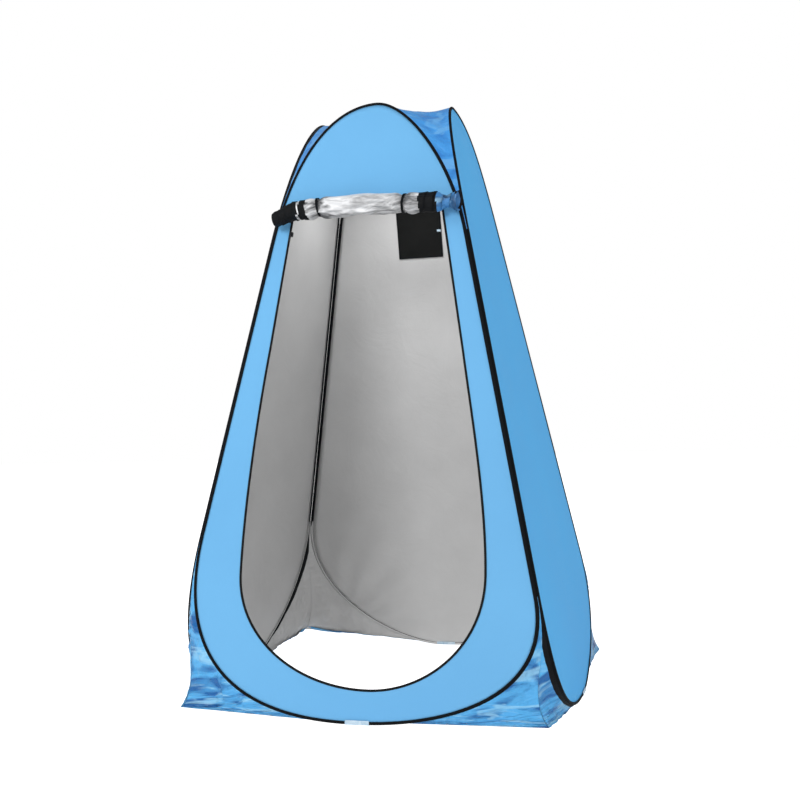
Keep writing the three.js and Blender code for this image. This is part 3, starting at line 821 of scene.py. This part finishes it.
# ---- skirts ----
SKIRT_ROWS = 110
SKIRT_ABOVE = 8  # how far its top reaches above the seam's low end
SKIRT_HEM = 10
WING_COLUMNS = 42
TAPE_COLUMNS = 2
NEAR_TAPE = 0.005  # the black tape at a skirt's first edge
FAR_TAPE = 0.021  # the broad one at its second; the front left skirt has them the other way round
CRINKLE_DEPTHS = [0.016, 0.006, 0.012, 0.016]  # at each corner
TAPE_SLOT = 2  # the black tape's place among a piece's materials
GATHER_PITCH = 0.0036
GATHER_DEPTH = 0.0016
GATHER_WIDTH = 0.16  # a skirt narrower than this is gathered


def skirt_edge(side, is_right, top):
    """The outer edge of a binding beside a skirt, from its high end down."""
    kept = [p for p in half_edge(side, is_right) if SKIRT_HEM < p.y < top]
    return spaced([panel_point(side, p.x, p.y) for p in reversed(kept)], SKIRT_ROWS)


def corner_fold(corner, near, far):
    """The skirt's fold: it hangs midway between the two hoops and reaches out to its foot at the hem."""
    out, up, flare = CORNER_FEET[corner]
    out, up = out * MM, up * MM
    foot = Matrix.Rotation(corner * math.pi / 2, 3, "Z") @ Vector((out, -out, up))
    highest = (near[0].z + far[0].z) / 2
    fold = []
    for i, (a, b) in enumerate(zip(near, far)):
        eased = (i / (len(near) - 1)) ** 4
        middle = (a + b) / 2
        height = middle.z * (1 - eased) + up * eased
        drop = max((highest - height) / (highest - up), 0)
        point = middle.lerp(foot, drop**flare)
        fold.append(Vector((point.x, point.y, height)))
    return fold


def gathers(width, fallen, seed):
    """Short level creases, where the skirt is narrow and its two hoops pull it tight."""
    narrow = smoothstep((GATHER_WIDTH - width) / 0.14)
    wave = math.sin(fallen / GATHER_PITCH + 2.4 * noise.noise(Vector((fallen * 60, width * 30, seed))))
    return narrow * wave


def skirt_columns(width, tape):
    """Shares of a wing's width: a few across the black tape at its binding, then evenly to the fold."""
    edge = min(tape / max(width, 1e-6), 0.9)
    return [edge * c / TAPE_COLUMNS for c in range(TAPE_COLUMNS)] + shares(edge, 1, WING_COLUMNS)


def skirt_wing_rows(edge, fold, seed, tape, depth):
    """Rows of one wing, from its binding to the fold, with the cloth crumpled between them."""
    rows, uvs = [], []
    fallen = 0.0
    for i, (a, b) in enumerate(zip(edge, fold)):
        row, uv = [], []
        width = (b - a).length
        out = outward((a + b) / 2)
        if i:
            fallen += (a - edge[i - 1]).length
        for t in skirt_columns(width, tape):
            p = a.lerp(b, t)
            hold = min(max(t * width - tape * 0.7, 0) / 0.02, 1.0)
            sag = math.sin(math.pi * t) * 0.05 * width
            calm = min((1 - t) * width / 0.035 + 0.2, 1.0)
            lift = crinkle(p, seed) * depth * calm + gathers(width, fallen, seed) * GATHER_DEPTH
            p = p + out * (lift * hold * min(width / 0.05, 1) - sag * 0.4)
            p.z = max(p.z, ON_GROUND)
            row.append(p)
            uv.append((t * width, fallen))
        rows.append(row)
        uvs.append(uv)
    return rows, uvs


def skirt_cloth(name, corner, wings, node, seed):
    """A skirt, or one wing of it where the corner is open."""
    top = seam_ends(corner, True)[0] + SKIRT_ABOVE
    near = skirt_edge(corner, True, top)
    far = skirt_edge((corner + 1) % 4, False, top)
    fold = corner_fold(corner, near, far)
    tapes = (FAR_TAPE, NEAR_TAPE) if corner == FRONT_LEFT else (NEAR_TAPE, FAR_TAPE)
    depth = CRINKLE_DEPTHS[corner]
    rows, uvs = skirt_wing_rows(near, fold, seed, tapes[0], depth)
    if wings != "near":
        second, second_uv = skirt_wing_rows(far, fold, seed, tapes[1], depth)
    if wings == "far":
        rows, uvs = second, second_uv
    if wings == "both":
        for i in range(SKIRT_ROWS):
            back = [(2 * uvs[i][-1][0] - u + 0.4, v) for u, v in second_uv[i]]
            rows[i] += second[i][::-1][1:]
            uvs[i] += back[::-1][1:]
    piece = grid_piece(name, rows, uvs, [SKIRT_BLUE, LINING, WOUND])
    lined(piece, outward)
    width = len(rows[0]) - 1
    taped = list(range(TAPE_COLUMNS))
    if wings == "both":
        taped += list(range(width - TAPE_COLUMNS, width))
    paint_columns(piece, width, SKIRT_ROWS - 1, taped)
    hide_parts(node)
    return piece, rows


def paint_columns(piece, width, height, chosen):
    """Gives the chosen columns of a lined grid's two faces the tape, its third material."""
    one_face = width * height
    for polygon in list(piece.data.polygons)[: 2 * one_face]:
        if polygon.index % one_face % width in chosen:
            polygon.material_index = TAPE_SLOT


for corner in JOINED_CORNERS:
    name = f"skirt_{CORNER_NAMES[corner]}"
    skirt, rows = skirt_cloth(f"{name}_cloth", corner, "both", name, corner * 5.1)
    bend_at(skirt)
for wings, node, body in (("near", "skirt_back_left_rear", "back"), ("far", "skirt_back_left_side", "left")):
    wing, rows = skirt_cloth(f"{node}_cloth", OPEN_CORNER, wings, node, 9.7)
    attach(wing, body)

# ---- roof ----
ROOF_ROWS = 60
ROOF_COLUMNS = 34
TOP_ROWS = 12  # from the hoop tops to the middle
ROOF_BELOW = 8  # how far its tails reach below the seam's high end
ROOF_TAPE = 0.004  # the black tape along the roof's edges
LEFT_ROOF_TAPE = 0.02  # the same along the left hoop, where it faces the front
TOP_DEPTH = 0.6  # how crumpled the top is, as a share of the tails' lower ends
TOP_REACH = 0.25  # from a hoop top to the middle, along the cloth
ROOF_CRINKLE = 0.008


def roof_edge(side, is_right):
    low = seam_ends(side, is_right)[1] - ROOF_BELOW
    kept = [p for p in half_edge(side, is_right) if p.y > low]
    return spaced([panel_point(side, p.x, p.y) for p in kept], ROOF_ROWS)


def roof_shares(width, start, end, first_tape):
    """Shares of a row's width: a column of tape at each hoop, and even columns between."""
    first = min(first_tape / max(width, 1e-6), 0.6)
    last = min(ROOF_TAPE / max(width, 1e-6), 0.3)
    inner = shares(max(start, first), min(end, 1 - last), ROOF_COLUMNS)
    return [0.0] * (start == 0) + inner + [1.0] * (end == 1)


def roof_point(a, b, t, sag, depth):
    """A point between two hoops, where the cloth hangs by sag midway and is crumpled by this share."""
    p = a.lerp(b, t)
    p.z -= sag * 4 * t * (1 - t)
    hold = max(min(t, 1 - t) * (b - a).length - ROOF_TAPE, 0)
    lift = crinkle(p, 3.0) * ROOF_CRINKLE * min(hold / 0.04, 1)
    return p + outward(p) * lift * depth


def roof_rows(corner, start, end):
    """A corner of the roof: its tail, then a quarter of the top. start and end are shares of its width."""
    near = roof_edge(corner, True)
    far = roof_edge((corner + 1) % 4, False)
    middle = Vector((0, 0, (HEIGHT - ROOF_DROP) * MM))
    tape = LEFT_ROOF_TAPE if corner == FRONT_LEFT else ROOF_TAPE
    lines = []  # each row's two ends, its sag, how crumpled it is, and how far up the cloth it lies
    risen = 0.0
    for i, (a, b) in enumerate(zip(near, far)):
        if i:
            risen += (a - near[i - 1]).length
        sag = ROOF_SAG * MM * (i / (ROOF_ROWS - 1)) ** 2
        lines.append((a, b, sag, 1 - (1 - TOP_DEPTH) * i / ROOF_ROWS, risen))
    for i in range(1, TOP_ROWS + 1):
        t = i / TOP_ROWS
        a, b = near[-1].lerp(middle, t), far[-1].lerp(middle, t)
        lines.append((a, b, ROOF_SAG * MM * (1 - t), TOP_DEPTH, risen + t * TOP_REACH))
    rows, uvs = [], []
    for a, b, sag, depth, v in lines:
        width = (b - a).length
        across = roof_shares(width, start, end, tape)
        rows.append([roof_point(a, b, t, sag, depth) for t in across])
        uvs.append([(t * width, v) for t in across])
    return rows, uvs


def roof_sector(name, corner, start=0.0, end=1.0):
    rows, uvs = roof_rows(corner, start, end)
    piece = grid_piece(name, rows, uvs, [ROOF_BLUE, LINING, WOUND])
    width = len(rows[0]) - 1
    taped = [0] * (start == 0) + [width - 1] * (end == 1)
    for polygon in piece.data.polygons:
        row, column = divmod(polygon.index, width)
        if row < ROOF_ROWS - 1 and column in taped:
            polygon.material_index = TAPE_SLOT
    clean(piece)
    lined(piece, lambda p: Vector((p.x, p.y, 0.6)).normalized())
    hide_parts("roof_canopy")
    return piece, rows


for corner in JOINED_CORNERS:
    sector, rows = roof_sector(f"roof_{CORNER_NAMES[corner]}_cloth", corner)
    bend_at(sector)
for start, end, body in ((0.0, 0.5, "back"), (0.5, 1.0, "left")):
    half, rows = roof_sector(f"roof_back_left_{body}_cloth", OPEN_CORNER, start, end)
    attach(half, body)

# ---- corner seams ----
SEAM_ROWS = 56
SEAM_PAST = 10  # how far a seam's tape reaches past its ends
SEAM_SUNK = 1.6  # how far inside the panels it lies


def seam_line(side, is_right):
    line = hoop_side(side, is_right, -BINDING_WIDTH / 2 + 1)
    low, high = seam_ends(side, is_right)
    line = spaced([p for p in line if low - SEAM_PAST < p.y < high + SEAM_PAST], SEAM_ROWS)
    return [panel_point(side, p.x, p.y, -SEAM_SUNK) for p in line]


def corner_seam(name, corner, across):
    """The narrow black tape that joins two neighbouring bindings, at these shares of its width."""
    rows, uvs = [], []
    for i, (a, b) in enumerate(zip(seam_line(corner, True), seam_line((corner + 1) % 4, False))):
        rows.append([a.lerp(b, t) for t in across])
        uvs.append([(i * 0.02, t * 0.006) for t in across])
    piece = grid_piece(f"seam_{name}", rows, uvs, [TAPE, TAPE])
    lined(piece, outward, 0.0007)
    return piece


for corner in JOINED_CORNERS:
    seam = corner_seam(f"{CORNER_NAMES[corner]}_tape", corner, (0.0, 0.5, 1.0))
    bend_at(seam)
for half, body in (((0.0, 0.42), "back"), ((0.58, 1.0), "left")):
    seam = corner_seam(f"back_left_tape_{body}", OPEN_CORNER, half)
    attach(seam, body)

# ---- door zip ----
ZIP_TAPE_WIDTH = 6
ZIP_TAPE_DEPTH = 3.8
COIL_COUNT = 1400
COIL_CORNERS = 6
COIL_RADII = (0.65, 1.0)
COIL_INSIDE = 3.3  # from the tape's middle into the opening


def zip_tape_profile():
    """A tape folded over the cloth's edge: x away from the opening, y across the panel."""
    deep = ZIP_TAPE_DEPTH / 2
    wide = ZIP_TAPE_WIDTH / 2
    slit = 0.9
    half = [(-1.6, slit), (wide, slit), (wide, deep - 0.3), (2.5, deep), (-2.4, deep), (-wide, deep - 0.8)]
    lower = [(x, -y) for x, y in reversed(half)]
    return [Vector(point) for point in reversed(half[1:] + lower + half[:1])]


def zip_coil():
    """The row of zip teeth just inside the tape, as one ribbed bead."""
    outline = door_outline(COIL_COUNT)
    corners = range(COIL_CORNERS)
    step = 2 * math.pi / COIL_CORNERS
    points, uvs = [], []
    for i, here in enumerate(outline):
        along = (outline[(i + 1) % len(outline)] - outline[i - 1]).normalized()
        out = Vector((along.y, -along.x))
        radius = COIL_RADII[i % 2]
        ring = [(radius * math.cos(k * step) - COIL_INSIDE, radius * math.sin(k * step)) for k in corners]
        points.append([panel_point(0, here.x + out.x * a, here.y + out.y * a, b) for a, b in ring])
    for i in range(COIL_COUNT + 1):
        uvs.append([(i * 0.003, k * 0.001) for k in range(COIL_CORNERS + 1)])
    return clean(grid_piece("door_zip_coil", points, uvs, [TEETH], True, True), 1e-7)


zip_tape = swept("door_zip_tape_cloth", 0, door_outline(360), zip_tape_profile(), WOUND)
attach(zip_tape, "front")
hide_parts("door_zip_tape")
coil = zip_coil()
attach(coil, "front")
for name in ("zip_slider", "zip_pull"):
    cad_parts[name].data.materials.clear()
    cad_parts[name].data.materials.append(ZIP_BLACK)

# ---- rolled door flap ----
# The flap is one sheet wound up outwards from its foot: the lining shows, and its zipped edges end in cones.
NECK_SLOT = 3  # the neck's place among the roll's materials
FLAP_LENGTH = 1479
ROLL_OUTER = 35.0
ROLL_INNER = 6.0
ROLL_PITCH = math.pi * (ROLL_OUTER**2 - ROLL_INNER**2) / FLAP_LENGTH
ROLL_TURNS = (ROLL_OUTER - ROLL_INNER) / ROLL_PITCH
STEPS_PER_TURN = 54
ROLL_COLUMNS = 96
ROLL_SHORT = 188  # the outermost turn's half width
ROLL_LEFT = 303
ROLL_RIGHT = 310
WIDEST_AT = 0.6  # how far down the flap its widest place is
EDGE_TAPE = 15
# Where the roll's colours change, along x: tape past LEFT_BAND and RIGHT_BAND, and blue cloth at the neck.
LEFT_BAND = -186
LEFT_STRIPE = (-214, -208)
LEFT_MOUTH = -298  # past it the lining shows inside the left end
RIGHT_BAND = 181
NECK = (238, 299)
# The roll's middle line and girth: x, height up the panel, radius.
ROLL_STATIONS = [
    (-303, 1530, 24.5),
    (-285, 1540, 27.5),
    (-225, 1560, 33),
    (-150, 1566, 33),
    (0, 1565, 36),
    (150, 1556, 33.5),
    (235, 1553, 35),
    (266, 1552, 20),
    (310, 1550, 36),
]
TIES = {"left": (-146, -4), "right": (132, 4)}  # x, and how far each leans
CINCH_DEPTH = 0.17  # the share of the roll's radius that a tie squeezes out
CINCH_HALF = 11
PUFF = 0.06  # the share by which the roll stands out beside it
PUFF_AWAY = 26
PUFF_HALF = 14


def roll_station(x, column):
    """The roll's height or radius at x, eased between its stations."""
    for a, b in zip(ROLL_STATIONS, ROLL_STATIONS[1:]):
        if x <= b[0]:
            t = smoothstep((x - a[0]) / (b[0] - a[0]))
            return a[column] + (b[column] - a[column]) * t
    return ROLL_STATIONS[-1][column]


def wound_radius(length):
    """The spiral's radius after this much of the flap has been wound, counted from the outside."""
    return math.sqrt(max(ROLL_OUTER**2 - length * ROLL_PITCH / math.pi, 0.0))


def flap_reach(length, full):
    """How far from the middle the flap's edge lies, this far down it."""
    share = length / FLAP_LENGTH
    if share < WIDEST_AT:
        return ROLL_SHORT + (full - ROLL_SHORT) * share / WIDEST_AT
    return full * (1 - 0.5 * (share - WIDEST_AT) / (1 - WIDEST_AT))


def outermost(x):
    """The radius, before the girth is applied, of the outermost turn that reaches x."""
    full = ROLL_LEFT if x < 0 else ROLL_RIGHT
    share = max((abs(x) - ROLL_SHORT) / (full - ROLL_SHORT), 0.0) * WIDEST_AT
    return wound_radius(min(share, WIDEST_AT) * FLAP_LENGTH)


def cinch(x):
    """The ties squeeze the roll; it puffs out beside them."""
    squeeze = 0.0
    for tie, _ in TIES.values():
        away = (x - tie) / CINCH_HALF
        beside = (abs(x - tie) - PUFF_AWAY) / PUFF_HALF
        squeeze += CINCH_DEPTH * math.exp(-away * away) - PUFF * math.exp(-(beside**2))
    return 1 - squeeze


def diamond_folds(x, angle, radius):
    """Sharp crumples round the roll, from about -1 to 1."""
    skew = x / 140 + 0.6 * math.sin(angle + x / 110)
    seat = Vector((skew, 1.5 * math.cos(angle), 1.5 * math.sin(angle)))
    near, next_near = noise.voronoi(seat * 1.25)[0][:2]
    broad = min((next_near - near) * 1.9, 1.0) * 2 - 1
    small = noise.voronoi(seat * 2.9 + Vector((7, 3, 1)))[0]
    fine = min((small[1] - small[0]) * 2.0, 1.0) * 2 - 1
    calm = smoothstep((math.sin(angle) - 0.3) / 0.5)
    return (0.87 * broad + 0.13 * fine) * (1 - 0.75 * calm) * min(radius / 34, 1.0)


def roll_point(x, angle, base):
    """A point of the wound cloth, at an angle round the roll and a radius before girth and folds."""
    share = base / outermost(x)
    radius = roll_station(x, 2) * share * cinch(x)
    tight = smoothstep((ROLL_SHORT + 12 - abs(x)) / 30)
    radius *= 0.93 + diamond_folds(x, angle, base) * (0.03 + 0.13 * tight)
    if x > NECK[0]:
        radius *= 1 + 0.07 * math.sin(5 * angle + x / 7) * smoothstep((x - NECK[0]) / 15)
    y = roll_station(x, 1) + radius * math.sin(angle)
    return panel_point(0, x, y, ROLL_OUT + radius * math.cos(angle))


def across_flap(length):
    """The columns' x, this far down the flap: tape at both edges and even columns between."""
    left, right = -flap_reach(length, ROLL_LEFT), flap_reach(length, ROLL_RIGHT)
    tape = [0.0, EDGE_TAPE / 2, EDGE_TAPE]
    inner = shares(left + EDGE_TAPE, right - EDGE_TAPE, ROLL_COLUMNS)[1:-1]
    return [left + t for t in tape] + inner + [right - t for t in reversed(tape)]


def flap_roll():
    """The flap: a strip that hangs from above the door, then the spiral from its outermost turn inwards."""
    rows, uvs = [], []
    for i in range(int(ROLL_TURNS * STEPS_PER_TURN) + 1):
        turned = 2 * math.pi * i / STEPS_PER_TURN
        base = ROLL_OUTER - ROLL_PITCH * turned / (2 * math.pi)
        length = ROLL_OUTER * turned - ROLL_PITCH * turned**2 / (4 * math.pi)
        xs = across_flap(length)
        rows.append([roll_point(x, math.pi + turned, base) for x in xs])
        uvs.append([(x * MM, length * MM) for x in xs])
    rows.insert(0, [panel_point(0, u / MM, DOOR_TOP - 1, 2.6) for u, v in uvs[0]])
    uvs.insert(0, [(u, -0.03) for u, v in uvs[0]])
    piece = grid_piece("door_flap_roll_cloth", rows, uvs, [PAINTED_FOLD_LINING, BLUE, WOUND, NECK_BLUE])
    axis = panel_point(0, 0, roll_station(0, 1), ROLL_OUT)
    along = panel_point(0, 1, roll_station(0, 1), ROLL_OUT) - axis

    def from_axis(point):
        away = point - axis
        return away - along * away.dot(along) / along.length_squared

    face_along(piece, from_axis)
    apply_modifier(piece, "SOLIDIFY", thickness=0.0007, offset=0, material_offset=1)
    width = len(rows[0]) - 1
    paint_columns(piece, width, len(rows) - 1, (0, 1, width - 2, width - 1))
    for polygon in piece.data.polygons:
        polygon.material_index = roll_material(polygon.center.x / MM, polygon.material_index)
    return piece


def roll_material(x, index):
    """The wound tapes are black towards both ends; at the neck the flap's blue side shows."""
    if LEFT_STRIPE[0] < x < LEFT_STRIPE[1]:
        return 0
    if x < LEFT_BAND:
        return TAPE_SLOT if x > LEFT_MOUTH or index != 1 else 0
    if NECK[0] < x < NECK[1]:
        return NECK_SLOT
    return TAPE_SLOT if x > RIGHT_BAND else index


roll = flap_roll()
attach(roll, "front")
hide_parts("door_flap_roll")


TIE_WIDTH = 7.2
TIE_STEPS = 72
TIE_LOOSE = 1.6  # from the roll to the strap


def roll_tie(hand):
    """A tie strap: snug round the roll, its back stitched to the panel."""
    x, lean = TIES[hand]
    height = roll_station(x, 1)
    snug = roll_station(x, 2) * cinch(x) + TIE_LOOSE
    rows, uvs = [], []
    for i in range(TIE_STEPS + 1):
        angle = 2 * math.pi * i / TIE_STEPS
        back = max(-math.cos(angle), 0.0) ** 6
        radius = snug + (ROLL_OUT - 2.4 - snug) * back
        shift = lean * math.sin(angle) + noise.noise(Vector((angle, x, 0))) * 1.0
        y, z = height + radius * math.sin(angle), ROLL_OUT + radius * math.cos(angle)
        across = shares(-TIE_WIDTH / 2, TIE_WIDTH / 2, 3)
        rows.append([panel_point(0, x + shift + a, y, z) for a in across])
        uvs.append([(i * 0.0034, 0.003 * k) for k in range(len(across))])
    piece = clean(grid_piece(f"door_tie_{hand}_strap", rows, uvs, [TAPE, TAPE]))
    centre = panel_point(0, x, height, ROLL_OUT)
    face_along(piece, lambda point: point - centre)
    apply_modifier(piece, "SOLIDIFY", thickness=0.0014, offset=0)
    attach(piece, "front")
    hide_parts(f"door_tie_{hand}")


for hand in TIES:
    roll_tie(hand)
flap_area = polygon_area(door_outline(400))

# ---- pocket ----
POCKET_X = -15
POCKET_LOW = 1495
POCKET_WIDTH = 165
POCKET_HEIGHT = 200
POCKET_OUT = -2.4  # the bag's middle, from the panel's plane
TRIM_LIFT = 0.9
LABEL_WIDTH = 14
LABEL_HEIGHT = 8
LABEL_UP = 91  # from the pocket's foot
LABEL_OUT = -4.3


def pocket_point(u, v, lift=0.0):
    x = POCKET_X + (u - 0.5) * POCKET_WIDTH
    y = POCKET_LOW + v * POCKET_HEIGHT
    hold = min(u, 1 - u, v) * 5
    belly = noise.noise(Vector((u * 3.1, v * 2.7, 5))) * 1.1 * min(hold, 1)
    return panel_point(2, x, y, POCKET_OUT - abs(belly) - lift)


def pocket_cloth(name, us, vs, materials, lift, thickness):
    rows = [[pocket_point(u, v, lift) for u in us] for v in vs]
    uvs = [[(u * POCKET_WIDTH * MM, v * POCKET_HEIGHT * MM) for u in us] for v in vs]
    piece = grid_piece(name, rows, uvs, materials)
    inwards = -panel_normal(2)
    lined(piece, lambda point: inwards, thickness)
    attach(piece, "back")
    return piece


ACROSS = shares(0, 1, 40)
UPWARDS = shares(0, 1, 48)
TRIMS = {
    "hem": (ACROSS, shares(0.945, 1, 2)),
    "left_seam": (shares(0, 0.03, 2), UPWARDS),
    "right_seam": (shares(0.97, 1, 2), UPWARDS),
    "foot_seam": (ACROSS, shares(0, 0.025, 2)),
}
bag = pocket_cloth("pocket_bag", ACROSS, UPWARDS, [POCKET, POCKET], 0, 0.0012)
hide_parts("storage_pocket")
for name, (us, vs) in TRIMS.items():
    trim = pocket_cloth(f"pocket_{name}", us, vs, [TAPE, TAPE], TRIM_LIFT, 0.0006)


def pocket_label():
    """A small blank label, curled a little off the pocket's edge."""
    rows, uvs = [], []
    for i in range(9):
        x = POCKET_X - POCKET_WIDTH / 2 + 2 + LABEL_WIDTH * i / 8
        z = LABEL_OUT - 0.5 * math.sin(math.pi * i / 8)
        rows.append([panel_point(2, x, POCKET_LOW + LABEL_UP + LABEL_HEIGHT * k / 4, z) for k in range(5)])
        uvs.append([(x * MM, k * 0.002) for k in range(5)])
    piece = grid_piece("pocket_label_cloth", rows, uvs, [PATCH, PATCH])
    inwards = -panel_normal(2)
    lined(piece, lambda point: inwards, 0.0005)
    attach(piece, "back")
    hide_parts("pocket_tag")


pocket_label()

# ---- what the panels were cut to ----


def reach(values):
    return (max(values) - min(values)) * MM


for side, piece in enumerate(panels):
    outline = hoop_outline(side, PANEL_INSET, 400)
    area = polygon_area(outline) - (flap_area if side == 0 else 0)

# ---- studio ----


FLOOR_HALF = 30
FLOOR_GLOW = 0.22  # how brightly the floor lights the tent
SURROUND = 0.42  # how brightly the surroundings do
AIM = Vector((0, 0, 1.0))
# Each softbox: place, width and height, and power.
SOFTBOXES = {
    "front": ((-0.9, -5.2, 3.0), (1.5, 1.5), 110),
    "key": ((-3.4, -3.4, 4.2), (1.6, 1.6), 60),
    "side": ((5.0, -0.5, 3.0), (1.5, 2.5), 58),
    "under_roof": ((0, 0, 1.7), (0.25, 0.25), 1.9),
}


def floor():
    """A white floor that looks brighter than it lights."""
    h = FLOOR_HALF
    mesh = bpy.data.meshes.new("floor")
    mesh.from_pydata([(-h, -h, 0), (h, -h, 0), (h, h, 0), (-h, h, 0)], [], [(0, 1, 2, 3)])
    shader = Shader("floor_white")
    cloud = shader.noise(shader.place(), 3.0, 2)
    white = shader.blend_colour(cloud, (0.86, 0.86, 0.86, 1), (0.88, 0.88, 0.88, 1))
    shader.set(Base_Color=white, Roughness=0.9)
    seen = shader.node("ShaderNodeLightPath").outputs["Is Camera Ray"]
    shader.set(Emission_Color=(1, 1, 1, 1), Emission_Strength=shader.spread(seen, FLOOR_GLOW, 1.0, 0, 1))
    mesh.materials.append(shader.material)
    plane = bpy.data.objects.new("floor", mesh)
    bpy.context.collection.objects.link(plane)


def softbox(name, place, size, power):
    light = bpy.data.lights.new(name, "AREA")
    light.shape = "RECTANGLE"
    light.size, light.size_y = size
    light.energy = power
    lamp = bpy.data.objects.new(name, light)
    lamp.location = place
    lamp.rotation_euler = (AIM - Vector(place)).to_track_quat("-Z", "Y").to_euler()
    bpy.context.collection.objects.link(lamp)


def studio():
    """White surroundings that look brighter than they light, and the softboxes."""
    world = bpy.data.worlds.new("studio")
    world.use_nodes = True
    nodes, links = world.node_tree.nodes, world.node_tree.links
    seen = nodes.new("ShaderNodeLightPath").outputs["Is Camera Ray"]
    strength = nodes.new("ShaderNodeMapRange")
    strength.inputs["To Min"].default_value = SURROUND
    strength.inputs["To Max"].default_value = 1.0
    links.new(seen, strength.inputs["Value"])
    links.new(strength.outputs[0], nodes["Background"].inputs["Strength"])
    nodes["Background"].inputs["Color"].default_value = (1, 1, 1, 1)
    bpy.context.scene.world = world
    bpy.context.scene.view_settings.view_transform = "Standard"
    for name, settings in SOFTBOXES.items():
        softbox(name, *settings)


floor()
studio()
